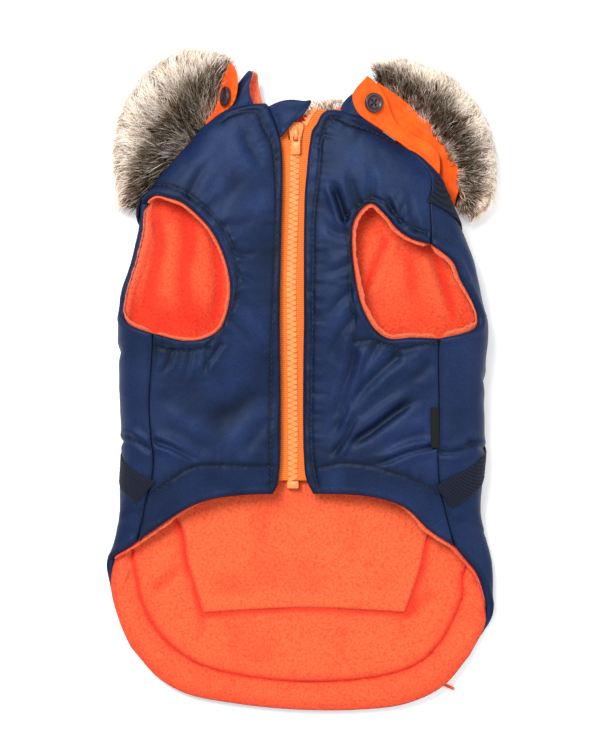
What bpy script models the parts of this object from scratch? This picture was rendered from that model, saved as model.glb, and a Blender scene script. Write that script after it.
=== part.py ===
"""Dog vest with a zip front and a fur-trimmed hood, lying on its back with the belly side up.

Lengths are in millimetres until a mesh is made, and metres in the scene. +Y runs to the neck and +Z up.
The wearer's right is -X and the left is +X. The origin is under the middle of the garment, on the surface.

The body is a flattened tube. A place on it is (v, y, depth): v runs from 0 at the middle of the back to 1 where
the side starts to round up, 2 at the outermost point of the side, 3 where the belly side starts and 4 at
the zip, negative on the wearer's right, and depth is how far the place lies inside the outer cloth.
"""
import math

import bmesh
import bpy
import numpy as np
from mathutils import Matrix, Vector
from mathutils.geometry import delaunay_2d_cdt

NAME = "dog_vest"
MM = 0.001

SHELL = 4.2                # padded nylon wall
LINING_TOP = 4.9           # depth of the fleece's outer face under the nylon's
LINING = 2.0               # fleece wall
SEAM = 0.25                # each panel stops this far short of its seam line
LIP = 1.0                  # the fleece rolls out this far past the nylon at the armholes
TAPE_HIDDEN = 9.0          # zip tape hidden under each front edge
CHAIN = 6.0                # width of the closed zip teeth
CHAIN_THICK = 2.6
TAPE_THICK = 1.1
WEBBING = 15.0             # strap width
WEBBING_THICK = 1.2
CLEAR = 0.3                # gap between pieces that touch
STRAP_GAP = 0.5            # and between the straps and the cloth they lie on
BUTTON_D = 11.5
BUTTON_THICK = 2.6
BUTTON_DISH = 0.9          # depth of the dish that the holes are in
BUTTON_HOLE = 0.6          # radius of a hole
BUTTON_PITCH = 1.5         # from the middle to a hole
CORD_D = 1.8
CURVE_STEP = 7.0           # spacing of points along a panel's edge
EDGE_MARGIN = 4.2          # free strip between a panel's edge and its inner points

ROUND_LOW = 15.0           # rounding of the side towards the back
ROUND_HIGH = 21.0          # and towards the belly
TAIL_FADE = 25.0           # length over which a side opens out into the flat tail
TAIL_START = {-1: -100.0, 1: -130.0}

# Sections of the body tube: where the sides reach, how high the back lies above the surface, and the
# heights of the zip, the fullest part of the front and the side's outermost point above the back.
BODY_COLUMNS = ("y", "right", "left", "base", "zip", "crown", "side")
BODY_ROWS = (
    (-196, -112.0, 112.0, 0.0, 15.0, 16.0, 8.0),
    (-150, -112.0, 112.0, 0.0, 15.0, 16.0, 8.0),
    (-130, -112.0, 111.0, 0.0, 15.0, 16.0, 8.0),
    (-117, -111.8, 110.4, 0.0, 15.0, 16.0, 8.0),
    (-103, -111.0, 108.5, 0.0, 15.0, 16.5, 8.4),
    (-92, -106.5, 106.0, 0.0, 15.0, 18.0, 9.0),
    (-78, -103.2, 103.4, 0.5, 15.2, 20.0, 10.0),
    (-62, -102.0, 103.2, 1.6, 15.6, 23.0, 11.2),
    (-40, -100.8, 104.8, 1.9, 16.0, 25.5, 12.0),
    (-12, -102.2, 104.6, 2.0, 16.0, 26.5, 12.4),
    (10, -102.6, 105.2, 4.2, 16.0, 26.5, 12.4),
    (34, -103.4, 106.8, 7.8, 16.0, 26.0, 12.0),
    (50, -101.6, 102.4, 9.3, 16.0, 25.5, 12.0),
    (67, -96.4, 98.0, 9.5, 16.0, 25.0, 12.0),
    (85, -92.2, 92.0, 9.5, 16.0, 24.5, 11.8),
    (102, -90.0, 84.6, 9.5, 16.0, 23.5, 11.5),
    (117, -79.2, 78.8, 9.5, 15.8, 22.0, 11.0),
    (127, -70.4, 69.0, 9.5, 15.6, 20.5, 10.5),
    (135, -63.4, 58.6, 9.5, 15.4, 19.0, 10.0),
    (143, -56.2, 47.0, 9.5, 15.2, 18.0, 9.5),
    (152, -46.0, 37.5, 9.5, 15.0, 17.0, 9.0),
    (160, -38.0, 33.0, 9.5, 15.0, 17.0, 9.0),
)
ZIP_X = -4.0               # the valley down the front
# The zip's own line down that valley, as (y, x).
ZIP_LINE = ((-62.0, -4.1), (-29.0, -4.0), (20.0, -4.6), (52.0, -5.0), (68.0, -4.6), (100.0, -3.5),
            (128.0, -2.8), (146.0, -2.4))

# Sections of the collar, which stands on from the neck.
COLLAR_ROWS = (
    (132, -58.0, 48.0, 9.5, 13.0, 13.0, 6.5),
    (146, -50.0, 42.0, 9.5, 13.0, 13.0, 6.5),
    (153, -45.2, 40.0, 9.5, 13.0, 13.0, 6.5),
    (165, -38.0, 38.0, 9.5, 13.5, 13.5, 6.8),
    (172, -33.0, 36.5, 9.5, 14.0, 14.0, 7.0),
    (180, -27.0, 35.0, 9.5, 14.0, 14.0, 7.0),
)
COLLAR_SHELL = 1.7
COLLAR_LINING = 1.5

# Seams and edges. Each row is (x, y, where): "under" on the back, "top" on the belly side, and "edge" at the
# outermost point of the side that the sign of x names. Rows of (x, y) lie on the belly side.
SIDE_SEAM = {
    -1: ((-83.4, 26.5), (-85.7, -11.5), (-84.6, -34.5), (-83.4, -43.5), (-84.6, -57.5), (-88.2, -70.0),
         (-93.7, -92.0)),
    1: ((78.8, 23.6), (78.8, -11.5), (78.2, -41.0), (79.4, -60.0), (82.8, -75.0), (88.6, -94.9)),
}
FRONT_EDGE = {
    -1: ((-17.3, 155.5), (-14.1, 147.0), (-11.4, 138.0), (-10.1, 129.0), (-9.8, 108.0), (-10.6, 80.0),
         (-11.2, 52.0), (-10.9, -29.0), (-11.6, -52.0), (-12.8, -60.0), (-15.5, -65.0)),
    1: ((15.4, 153.6), (12.2, 151.0), (9.6, 146.0), (6.4, 140.3), (4.9, 130.5), (3.5, 116.0), (2.3, 92.0),
        (2.1, 52.0), (1.7, -29.0), (2.1, -43.0), (3.4, -56.0), (7.5, -64.8)),
}
FRONT_HEM = {
    -1: ((-15.5, -65.0), (-33.0, -65.6), (-52.0, -68.4), (-66.7, -74.5), (-81.0, -84.0), (-93.7, -92.0)),
    1: ((7.5, -64.8), (31.6, -65.6), (46.6, -67.9), (61.0, -73.6), (74.2, -86.0), (88.6, -94.9)),
}
ARMHOLE_FRONT = {
    -1: ((-83.4, 26.5, "top"), (-65.0, 22.4, "top"), (-52.9, 24.2, "top"), (-44.9, 29.9, "top"),
         (-39.7, 48.9, "top"), (-41.4, 63.8, "top"), (-48.9, 82.2, "top"), (-63.8, 98.3, "top"),
         (-76.0, 103.4, "top"), (-84.0, 104.8, "top"), (-1, 100.0, "edge")),
    1: ((78.8, 23.6, "top"), (63.8, 24.2, "top"), (50.6, 23.6, "top"), (42.6, 28.8, "top"),
        (36.8, 38.0, "top"), (32.8, 50.0, "top"), (29.4, 76.0, "top"), (30.6, 90.5, "top"),
        (40.3, 100.3, "top"), (48.3, 93.4, "top"), (54.6, 85.7, "top"), (62.7, 80.2, "top"),
        (74.0, 76.8, "top")),
}
ARMHOLE_BACK = {
    -1: ((-1, 100.0, "edge"), (-1, 85.0, "edge"), (-1, 67.0, "edge"), (-1, 50.0, "edge"),
         (-1, 39.0, "edge"), (-101.0, 33.0, "top"), (-94.0, 29.5, "top"), (-83.4, 26.5, "top")),
    1: ((74.0, 76.8, "top"), (81.0, 72.6, "top"), (88.8, 66.2, "top"), (93.0, 56.5, "top"),
        (99.0, 47.5, "top"), (103.6, 37.5, "top"), (103.0, 31.0, "top"), (95.0, 27.0, "top"),
        (78.8, 23.6, "top")),
}
SHOULDER = {
    -1: ((-1, 100.0, "edge"), (-1, 121.0, "edge"), (-1, 142.0, "edge")),
    1: ((74.0, 76.8, "top"), (74.0, 97.0, "top"), (74.0, 118.0, "top")),
}
FRONT_NECK = {
    -1: ((-1, 142.0, "edge"), (-45.4, 152.2, "top"), (-34.5, 155.6, "top"), (-24.7, 157.2, "top"),
         (-17.3, 155.5, "top")),
    1: ((74.0, 118.0, "top"), (67.5, 126.0, "top"), (57.6, 134.0, "top"), (46.0, 142.5, "top"),
        (36.4, 149.6, "top"), (28.7, 151.6, "top"), (22.0, 153.6, "top"), (15.4, 153.6, "top")),
}
BACK_NECK = ((-1, 142.0, "edge"), (-40.0, 137.5, "under"), (-15.0, 134.5, "under"),
             (18.0, 134.5, "under"), (42.0, 134.5, "under"), (1, 131.0, "edge"), (74.0, 118.0, "top"))
BACK_HEM = {
    -1: ((-93.7, -92.0, "top"), (-102.0, -97.2, "top"), (-1, -103.0, "edge")),
    1: ((88.6, -94.9, "top"), (96.0, -103.0, "top"), (103.2, -110.6, "top"), (108.4, -123.0, "top"),
        (1, -133.0, "edge")),
}
TAIL_EDGE = ((-1, -103.0, "edge"), (-107.6, -124.8, "under"), (-102.4, -141.5, "under"),
             (-93.2, -157.6, "under"), (-81.1, -170.8, "under"), (-65.0, -179.8, "under"),
             (-38.5, -185.2, "under"), (-4.0, -188.8, "under"), (33.0, -189.0, "under"),
             (60.0, -185.6, "under"), (81.7, -175.4, "under"), (97.8, -156.6, "under"),
             (1, -133.0, "edge"))
# The seam round the main back lining, and the seam inside the hem casing.
LINING_SEAM = (
    ((-84.9, -59.0, "top"), (-1, -63.0, "edge"), (-84.0, -69.0, "under"), (-69.2, -81.0, "under"),
     (-64.6, -100.0, "under"), (-55.0, -133.0, "under")),
    ((-55.0, -133.0, "under"), (2.0, -130.2, "under"), (59.8, -132.8, "under")),
    ((59.8, -132.8, "under"), (67.0, -113.0, "under"), (74.0, -87.0, "under"), (84.0, -76.0, "under"),
     (1, -69.0, "edge"), (79.8, -62.0, "top")),
)
CASING_SEAM = ((-88.9, -73.0, "top"), (-1, -82.0, "edge"), (-96.2, -99.5, "under"),
               (-93.7, -113.3, "under"), (-90.0, -128.2, "under"), (-78.2, -147.2, "under"),
               (-59.2, -161.6, "under"), (-32.8, -169.0, "under"), (6.0, -172.4, "under"),
               (46.6, -169.0, "under"), (68.4, -161.0, "under"), (82.8, -145.5, "under"),
               (92.2, -124.8, "under"), (93.7, -110.4, "under"), (1, -88.0, "edge"),
               (83.4, -77.0, "top"))
COLLAR_EDGE = (
    ((-25.4, 158.2, "top"), (-34.5, 156.6, "top"), (-43.6, 153.6, "top"), (-1, 150.0, "edge"),
     (-38.0, 141.0, "under"), (-15.0, 137.5, "under"), (18.0, 137.5, "under"), (30.0, 139.0, "under"),
     (1, 149.0, "edge"), (36.0, 151.0, "top"), (29.0, 152.8, "top"), (23.0, 154.8, "top")),
    ((23.0, 154.8, "top"), (27.6, 161.5, "top"), (1, 169.0, "edge")),
    ((1, 169.0, "edge"), (29.0, 160.0, "under"), (14.0, 153.4, "under"), (-8.0, 152.6, "under"),
     (-20.0, 156.0, "under"), (-22.8, 165.0, "under"), (-23.8, 173.0, "under"), (-1, 177.0, "edge")),
    ((-1, 177.0, "edge"), (-28.4, 168.0, "top"), (-25.4, 158.2, "top")),
)
# The throat flap over the zip's top end, in plan, with the height of its upper face at each corner.
GUARD = ((-16.4, 154.8, 26.4), (-11.0, 157.6, 26.0), (-5.3, 159.2, 26.0), (1.5, 158.8, 26.0),
         (6.2, 158.6, 25.6), (5.0, 154.8, 25.8), (-1.0, 147.9, 26.2), (-6.4, 143.0, 26.0),
         (-10.4, 138.9, 25.4), (-13.1, 146.6, 26.0))

# Hood pieces in plan, with the height of the cloth's upper face at each corner.
BAND_LEFT = ((38.1, 172.7, 27.4), (29.8, 161.9, 26.6), (34.0, 154.0, 26.2), (39.6, 149.2, 25.0),
             (48.4, 143.6, 22.0), (60.9, 134.8, 20.6), (69.6, 127.6, 19.4), (79.9, 118.0, 17.4),
             (79.4, 127.4, 17.4), (74.8, 134.2, 18.4), (66.0, 138.6, 19.4), (55.6, 145.4, 21.2),
             (52.4, 151.0, 22.0), (48.6, 161.0, 23.4), (41.8, 170.2, 25.4))
HOOD_LINING_LEFT = ((43.4, 170.0, 20.0), (52.6, 164.4, 17.0), (62.2, 157.4, 14.8), (69.0, 151.0, 13.8),
                    (74.6, 147.8, 13.0), (78.0, 141.7, 12.4), (82.9, 136.0, 12.0), (89.2, 125.8, 12.4),
                    (91.6, 118.0, 11.6), (91.6, 110.8, 10.4), (88.0, 102.6, 9.4), (85.6, 102.6, 8.8),
                    (83.4, 110.0, 8.8), (80.6, 117.2, 9.2), (79.6, 127.2, 10.6), (75.0, 134.0, 13.0),
                    (66.4, 138.2, 14.4), (55.4, 145.0, 15.6), (52.0, 151.0, 16.4), (46.0, 161.0, 18.0))
BAND_RIGHT = ((-43.9, 176.4, 20.5), (-41.3, 181.3, 24.5), (-38.4, 178.0, 28.8), (-36.9, 172.6, 30.2),
              (-37.2, 164.4, 29.8), (-39.2, 158.4, 26.8), (-43.4, 154.2, 21.6), (-53.6, 146.4, 18.2),
              (-55.8, 147.4, 16.0), (-50.0, 156.2, 14.6), (-48.6, 162.5, 14.6), (-47.0, 170.4, 16.2))
BAND_THICK = 1.4
BAND_RIGHT_THICK = 2.2     # seen nearly edge-on, so it is folded back on itself
GUARD_THICK = 2.6
HOOD_SHELL_EDGE = ((-46.0, 134.0), (-70.0, 118.0), (-80.0, 100.0), (-80.0, 80.0), (-70.0, 60.0),
                   (-44.0, 51.0), (0.0, 48.0), (46.0, 51.0), (72.0, 60.0), (81.0, 80.0), (87.0, 100.0),
                   (89.5, 112.0), (83.0, 128.0), (67.0, 138.0), (46.0, 136.0), (20.0, 134.0),
                   (0.0, 133.0), (-24.0, 134.0))
HOOD_SHELL_TOP = 7.0

# Reach of the fur along its middle line: (x, y, half width, height above the surface).
FUR_RIGHT = ((-44.8, 179.6, 3.4, 17.0), (-52.0, 177.0, 9.2, 22.0), (-60.4, 172.2, 16.6, 26.0),
             (-70.5, 164.3, 22.2, 29.0), (-79.7, 153.8, 22.4, 30.0), (-86.3, 142.2, 20.6, 29.0),
             (-91.0, 130.9, 16.6, 27.0), (-93.8, 120.9, 12.8, 24.0), (-95.6, 110.6, 8.4, 20.0),
             (-97.8, 101.4, 4.2, 14.0))
FUR_LEFT = ((46.4, 177.4, 3.0, 18.0), (55.6, 175.6, 7.4, 23.0), (68.5, 168.9, 11.8, 27.0),
            (82.2, 159.7, 13.3, 29.0), (92.7, 146.7, 13.6, 29.0), (99.6, 132.1, 11.6, 28.0),
            (102.3, 117.6, 10.1, 26.0), (101.4, 104.6, 8.2, 23.0), (95.4, 95.4, 4.6, 16.0))
FUR_NAPE = ((-46.0, 141.0, 5.0, 8.4), (-30.0, 143.6, 7.0, 9.1), (-12.0, 145.8, 8.6, 9.15),
            (6.0, 148.6, 9.6, 9.15), (22.0, 150.4, 9.4, 9.15), (38.0, 148.6, 7.4, 9.1),
            (48.0, 145.6, 5.0, 8.4))

# Each button's back, on its hood band, and the way its face looks.
BUTTONS = {
    "button_left": ((41.3, 157.4, 25.6), (0.42, -0.02, 0.9)),
    "button_right": ((-43.1, 162.6, 24.0), (-0.86, 0.02, 0.52)),
}

STRAP_A = ((74.0, 107.5, "top"), (-86.8, -64.4, "top"))    # shoulder seam to the opposite side seam
STRAP_B = ((80.6, -66.7, "top"), (-1, 101.0, "edge"))      # side seam to the opposite shoulder
HUMP_HALF = 17.0                               # the first strap rises over the second this far each way
HUMP_SLOPE = 14.0
LABEL = ((75.2, -15.5), (75.2, -38.5))         # middle of the label's ends, at the side seam
LABEL_WIDE = 5.0
LABEL_THICK = 0.7

STOP_Y = (-62.0, -58.0)                        # bottom stop of the zip
SLIDER_Y = (136.2, 146.6)
PIVOT_Y = 138.9                                # the pull's crossbar
PULL_END = 128.3
PULL_WIDE = 5.2
PULL_THICK = 1.3
PULL_EYE = 2.75                                # length of the hole in the pull
CROSSBAR = 1.3                                 # width of the bar between that hole and the pull's end
SLIDER_OVER = 1.1                              # the slider's plates, over and under the chain
SLIDER_NOSE = 3.3                              # half width of the slider at its lower end
SLIDER_WING = 4.5                              # and at its widest
BRIDGE_WIDE = 2.0
BRIDGE_HIGH = 3.1
BRIDGE_BAR = 0.9
BRIDGE_POST = 1.0
BRIDGE_END = 3.0                               # the bridge stops this far short of the slider's upper end
PULL_PLAY = 0.4                                # under the pull and on each side of the bridge in its hole
STOP_WIDE = 6.8
STOP_THICK = 4.2
TAPE_SHORT = 1.0                               # the tape stops this far short of the lining's edge
# The left tape bends away under the throat flap: (left x, right x, y).
TAPE_BEND = ((4.2, 16.4, 149.5), (6.8, 15.0, 153.0), (8.4, 14.0, 154.8))

# The drawcord's free end, from the hem casing's underside to its tip.
CORD_ROUTE = ((63.4, -153.6), (65.8, -156.8), (68.6, -159.8), (71.6, -162.8), (74.2, -166.0),
              (76.4, -169.4), (79.2, -172.6), (82.8, -174.9), (86.2, -176.4), (88.6, -177.6))
LIFT_AT = (74.0, -166.0)                       # the tail lies over the cord here
LIFT_HIGH = 2.7
LIFT_WIDE = 26.0

COLOURS = {
    "navy_nylon": ((0.026, 0.040, 0.115), 0.42),
    "coral_fleece": ((0.90, 0.105, 0.040), 0.95),
    "orange_tape": ((1.0, 0.235, 0.03), 0.75),
    "orange_resin": ((1.0, 0.36, 0.12), 0.35),
    "orange_cloth": ((1.0, 0.125, 0.012), 0.60),
    "fur": ((0.26, 0.21, 0.17), 0.85),
    "webbing": ((0.012, 0.018, 0.045), 0.80),
    "button_resin": ((0.035, 0.018, 0.024), 0.45),
    "label_tape": ((0.008, 0.008, 0.010), 0.75),
}


# ---------------------------------------------------------------- the tube that the cloth follows

class Tube:
    """Maps (v, y, depth) to a point, from a table of sections."""

    def __init__(self, rows, low, high, tail=False):
        self.rows = np.array(rows, float)
        self.low = low
        self.high = high
        self.tail = tail

    def column(self, name, y):
        """Value of a column at y: a cubic through the rows, each row's slope taken from its neighbours."""
        known = self.rows[:, 0]
        value = self.rows[:, BODY_COLUMNS.index(name)]
        slope = np.gradient(value, known)
        y = np.clip(y, known[0], known[-1])
        i = np.clip(np.searchsorted(known, y) - 1, 0, len(known) - 2)
        span = known[i + 1] - known[i]
        t = (y - known[i]) / span
        rise = 3 * t**2 - 2 * t**3
        lead = t**3 - 2 * t**2 + t
        trail = t**3 - t**2
        return value[i] * (1 - rise) + value[i + 1] * rise + span * (lead * slope[i] + trail * slope[i + 1])

    def section(self, y, side):
        """The sizes of one side of the section at y."""
        reach = np.where(side < 0, -self.column("right", y), self.column("left", y))
        low = np.minimum(self.low, 0.45 * reach)
        high = np.minimum(self.high, 0.6 * reach)
        base = self.column("base", y)
        heights = [base + self.column(name, y) for name in ("side", "crown", "zip")]
        fade = np.zeros_like(reach)
        if self.tail:
            start = np.where(side < 0, TAIL_START[-1], TAIL_START[1])
            fade = np.clip((start - y) / TAIL_FADE, 0, 1)
            fade = fade * fade * (3 - 2 * fade)
        return reach, low, high, base, heights, fade

    def point(self, v, y, depth=0.0):
        v = np.asarray(v, float)
        y = np.asarray(y, float) + 0 * v
        side = np.where(v < 0, -1.0, 1.0)
        v = np.abs(v)
        reach, low, high, base, (side_z, crown_z, zip_z), fade = self.section(y, side)
        middle = side * ZIP_X
        turn = np.clip(v - 1, 0, 1) * math.pi / 2
        under_x = np.where(v < 1, v * (reach - low), reach - low + (low - depth) * np.sin(turn))
        under_z = side_z - (side_z - base - depth) * np.cos(turn)
        flat_x = np.where(v < 1, v * (reach - low), reach - low + low * np.clip(v - 1, 0, 1))
        under_x = under_x + (flat_x - under_x) * fade
        under_z = under_z + (base + depth - under_z) * fade
        turn = np.clip(v - 2, 0, 1) * math.pi / 2
        across = np.clip(4 - v, 0, 1)
        inner = reach - high
        top_x = np.where(v < 3, inner + (high - depth) * np.cos(turn), middle + (inner - middle) * across)
        full = zip_z + (crown_z - zip_z) * (1 - (1 - across) ** 2.2) - depth
        top_z = np.where(v < 3, side_z + (crown_z - depth - side_z) * np.sin(turn), full)
        x = side * np.where(v <= 2, under_x, top_x)
        z = np.where(v <= 2, under_z, top_z)
        if self.tail:
            far = ((x - LIFT_AT[0]) ** 2 + (y - LIFT_AT[1]) ** 2) / LIFT_WIDE**2
            z = z + LIFT_HIGH * np.exp(-far**2)
        return np.stack([x, y, z], -1)

    def place(self, x, y, where):
        """v of the place that lies at x, y on the named layer."""
        side = -1.0 if x < ZIP_X else 1.0
        if where == "edge":
            return 2.0
        reach, low, high, _, _, _ = self.section(np.array(y, float), np.array(side))
        reach, low, high = float(reach), float(low), float(high)
        x = abs(x) if where == "under" else side * x
        if where == "under":
            if x <= reach - low:
                return x / (reach - low)
            ahead = min((x - reach + low) / low, 1.0)
            fade = float(self.section(np.array(y, float), np.array(side))[5])
            bend = 1 + math.asin(ahead) * 2 / math.pi
            return bend + (1 + ahead - bend) * fade
        inner = reach - high
        if x > inner:
            return 3 - math.asin(min((x - inner) / high, 1.0)) * 2 / math.pi
        return 4 - (x - side * ZIP_X) / (inner - side * ZIP_X)


BODY = Tube(BODY_ROWS, ROUND_LOW, ROUND_HIGH, tail=True)
COLLAR = Tube(COLLAR_ROWS, 6.5, 6.5)

# v to a length round the half tube, so that triangles come out evenly, and back.
LENGTH_AT = (0.0, 88.0, 110.0, 136.0, 218.0)


def spread(v):
    return math.copysign(float(np.interp(abs(v), range(5), LENGTH_AT)), v)


def gather(q):
    q = np.asarray(q, float)
    return np.sign(q) * np.interp(np.abs(q), LENGTH_AT, range(5))


# ---------------------------------------------------------------- outlines and panels

def smooth_line(points, step=CURVE_STEP):
    """Points about a step apart on a curve through the given ones, both ends kept."""
    points = np.array(points, float)
    if len(points) < 3:
        count = max(1, round(float(np.linalg.norm(points[-1] - points[0])) / step))
        return [points[0] + (points[-1] - points[0]) * i / count for i in range(count + 1)]
    chord = np.sqrt(np.linalg.norm(np.diff(points, axis=0), axis=1))
    at = np.concatenate([[0], np.cumsum(chord)])
    slope = np.gradient(points, at, axis=0)
    line = []
    for i in range(len(points) - 1):
        span = at[i + 1] - at[i]
        for t in np.linspace(0, 1, 24, endpoint=False):
            rise = 3 * t**2 - 2 * t**3
            lead = t**3 - 2 * t**2 + t
            trail = t**3 - t**2
            bend = span * (lead * slope[i] + trail * slope[i + 1])
            line.append(points[i] * (1 - rise) + points[i + 1] * rise + bend)
    line.append(points[-1])
    line = np.array(line)
    run = np.concatenate([[0], np.cumsum(np.linalg.norm(np.diff(line, axis=0), axis=1))])
    count = max(2, round(run[-1] / step))
    wanted = np.linspace(0, run[-1], count + 1)
    return [np.array([np.interp(w, run, line[:, k]) for k in range(line.shape[1])]) for w in wanted]


def unrolled(tube, rows):
    """Rows of (x, y, where), or of (x, y) on the belly side, as (q, y) on the unrolled cloth."""
    flat = []
    for row in rows:
        x, y = row[:2]
        where = row[2] if len(row) > 2 else "top"
        sign = -1 if x < (ZIP_X if where == "top" else 0) else 1
        flat.append((spread(tube.place(x, y, where) * sign), y))
    return flat


def loop_of(*edges):
    """One closed outline from edges that follow on from each other, with a corner at each join."""
    outline = []
    for edge in edges:
        outline += [tuple(p) for p in smooth_line(edge)][:-1]
    return np.array(outline)


def area(outline):
    x, y = outline[:, 0], outline[:, 1]
    return 0.5 * float(np.sum(x * np.roll(y, -1) - np.roll(x, -1) * y))


def inset(outline, distance):
    """The outline moved in by a distance, or out where it is negative, and turned counter-clockwise."""
    if area(outline) < 0:
        outline = outline[::-1]
    before = outline - np.roll(outline, 1, axis=0)
    after = np.roll(outline, -1, axis=0) - outline
    before /= np.linalg.norm(before, axis=1)[:, None]
    after /= np.linalg.norm(after, axis=1)[:, None]
    ahead = before + after
    ahead /= np.linalg.norm(ahead, axis=1)[:, None]
    inward = np.stack([-ahead[:, 1], ahead[:, 0]], 1)
    stretch = 1 / np.maximum(0.5, np.abs(np.sum(ahead * after, 1)))
    return outline + inward * (distance * stretch)[:, None]


def inside(points, outline):
    """Which points are inside the outline, and how far each lies from it."""
    start, end = outline, np.roll(outline, -1, axis=0)
    run = end - start
    p = points[:, None, :]
    crosses = (start[None, :, 1] > p[..., 1]) != (end[None, :, 1] > p[..., 1])
    rise = np.where(np.abs(run[:, 1]) < 1e-12, 1e-12, run[:, 1])
    at = start[None, :, 0] + (p[..., 1] - start[None, :, 1]) * (run[:, 0] / rise)[None]
    within = np.sum(crosses & (p[..., 0] < at), 1) % 2 == 1
    t = np.clip(np.sum((p - start[None]) * run[None], 2) / np.sum(run * run, 1)[None], 0, 1)
    near = start[None] + run[None] * t[..., None]
    return within, np.min(np.linalg.norm(p - near, axis=2), 1)


def lattice():
    """Inner points of the body's panels, dense where the cloth bends, sparse where it lies flat."""
    flat = (0.0, 0.3, 0.6, 0.86)
    bent = (1.0, 1.34, 1.68, 2.0, 2.33, 2.67, 3.0)
    belly = (3.16, 3.36, 3.56, 3.74, 3.88, 3.95)
    places = []
    for y in (*np.arange(160.0, 92.0, -6.5), *np.arange(90.0, -195.0, -13.0)):
        lines = bent + belly + flat
        places += [(spread(side * v), y) for v in lines for side in (-1, 1) if v or side > 0]
    places = [(q, y) for q, y in places if math.hypot(q - LIFT_AT[0], y - LIFT_AT[1]) > LIFT_WIDE * 1.3]
    lifted = plan_lattice(np.array([LIFT_AT]) + LIFT_WIDE * np.array([[-1.2, -1.2], [1.2, 1.2]]), 9.0)
    return np.array(places + [(spread(BODY.place(x, y, "under")), y) for x, y in lifted])


def plan_lattice(outline, step):
    low, high = outline.min(0), outline.max(0)
    xs = np.arange(low[0] + step / 2, high[0], step)
    ys = np.arange(low[1] + step / 2, high[1], step)
    return np.array([(x, y) for y in ys for x in xs]).reshape(-1, 2)


def triangulate(outline, places, margin):
    """Triangles that fill the outline, using the places that lie well inside it."""
    if len(places):
        within, far = inside(places, outline)
        places = places[within & (far > margin)]
    points = [Vector(p) for p in outline] + [Vector(p) for p in places]
    count = len(outline)
    edges = [(i, (i + 1) % count) for i in range(count)]
    found = delaunay_2d_cdt(points, edges, [], 1, 1e-6)
    flat = np.array([tuple(p) for p in found[0]])
    triangles = [tuple(face) for face in found[2]]
    turned = []
    for a, b, c in triangles:
        ab, ac = flat[b] - flat[a], flat[c] - flat[a]
        turned.append((a, b, c) if ab[0] * ac[1] - ab[1] * ac[0] > 0 else (a, c, b))
    return flat, turned


def plate(name, slot, triangles, outer, inner):
    """A closed wall between two faces that share their triangles."""
    count = len(outer)
    used = {}
    for a, b, c in triangles:
        for edge in ((a, b), (b, c), (c, a)):
            used[edge] = used.get(edge, 0) + 1
    rim = [(a, b) for a, b in used if (b, a) not in used]
    faces = list(triangles)
    faces += [(c + count, b + count, a + count) for a, b, c in triangles]
    faces += [(b, a, a + count, b + count) for a, b in rim]
    return mesh_object(name, slot, np.concatenate([outer, inner]), faces)


def mesh_object(name, slot, points, faces):
    """A mesh object from points in millimetres, with its faces turned outwards."""
    mesh = bpy.data.meshes.new(name)
    mesh.from_pydata([tuple(p * MM) for p in np.asarray(points, float)], [], faces)
    shape = bmesh.new()
    shape.from_mesh(mesh)
    loose = [v for v in shape.verts if not v.link_faces]
    bmesh.ops.delete(shape, geom=loose, context="VERTS")
    bmesh.ops.recalc_face_normals(shape, faces=shape.faces)
    shape.to_mesh(mesh)
    shape.free()
    return finished(bpy.data.objects.new(name, mesh), slot)


def finished(obj, slot):
    obj.data.materials.clear()
    obj.data.materials.append(material(obj.name, slot))
    parts.objects.link(obj)
    return obj


def material(name, slot):
    colour, rough = COLOURS[slot]
    made = bpy.data.materials.new(name)
    made.use_nodes = True
    shader = made.node_tree.nodes["Principled BSDF"]
    shader.inputs["Base Color"].default_value = (*colour, 1.0)
    shader.inputs["Roughness"].default_value = rough
    shader.inputs["Metallic"].default_value = 0.0
    return made


def panel(name, slot, tube, outline, top, thick, places):
    """Cloth cut to an outline on the unrolled tube, with its outer face at a depth."""
    flat, triangles = triangulate(outline, places, EDGE_MARGIN)
    v = gather(flat[:, 0])
    outer = tube.point(v, flat[:, 1], top)
    inner = tube.point(v, flat[:, 1], top + thick)
    # The unrolled cloth is seen from inside, so its triangles are turned over.
    triangles = [(a, c, b) for a, b, c in triangles]
    return plate(name, slot, triangles, outer, inner)


def ribbon(name, slot, tube, line, wide, top, thick):
    """A strap along a line on the unrolled tube: top is its outer depth, a number or one a point."""
    line = np.array(line, float)
    ahead = np.gradient(line, axis=0)
    ahead /= np.linalg.norm(ahead, axis=1)[:, None]
    across = np.stack([-ahead[:, 1], ahead[:, 0]], 1)
    depth = np.broadcast_to(np.asarray(top, float), len(line))
    count = len(line)
    lines = (-0.5, 0.0, 0.5)
    outer, inner = [], []
    for share in lines:
        q = line + across * share * wide
        outer.append(tube.point(gather(q[:, 0]), q[:, 1], depth))
        inner.append(tube.point(gather(q[:, 0]), q[:, 1], depth + thick))
    quads = []
    for k in range(len(lines) - 1):
        for i in range(count - 1):
            a = k * count + i
            quads.append((a, a + 1, a + count + 1, a + count))
    return plate_of_quads(name, slot, quads, np.concatenate(outer), np.concatenate(inner))


def plate_of_quads(name, slot, quads, outer, inner):
    count = len(outer)
    used = {(q[i], q[(i + 1) % 4]) for q in quads for i in range(4)}
    faces = list(quads)
    faces += [tuple(i + count for i in reversed(q)) for q in quads]
    faces += [(b, a, a + count, b + count) for a, b in used if (b, a) not in used]
    return mesh_object(name, slot, np.concatenate([outer, inner]), faces)


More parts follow.
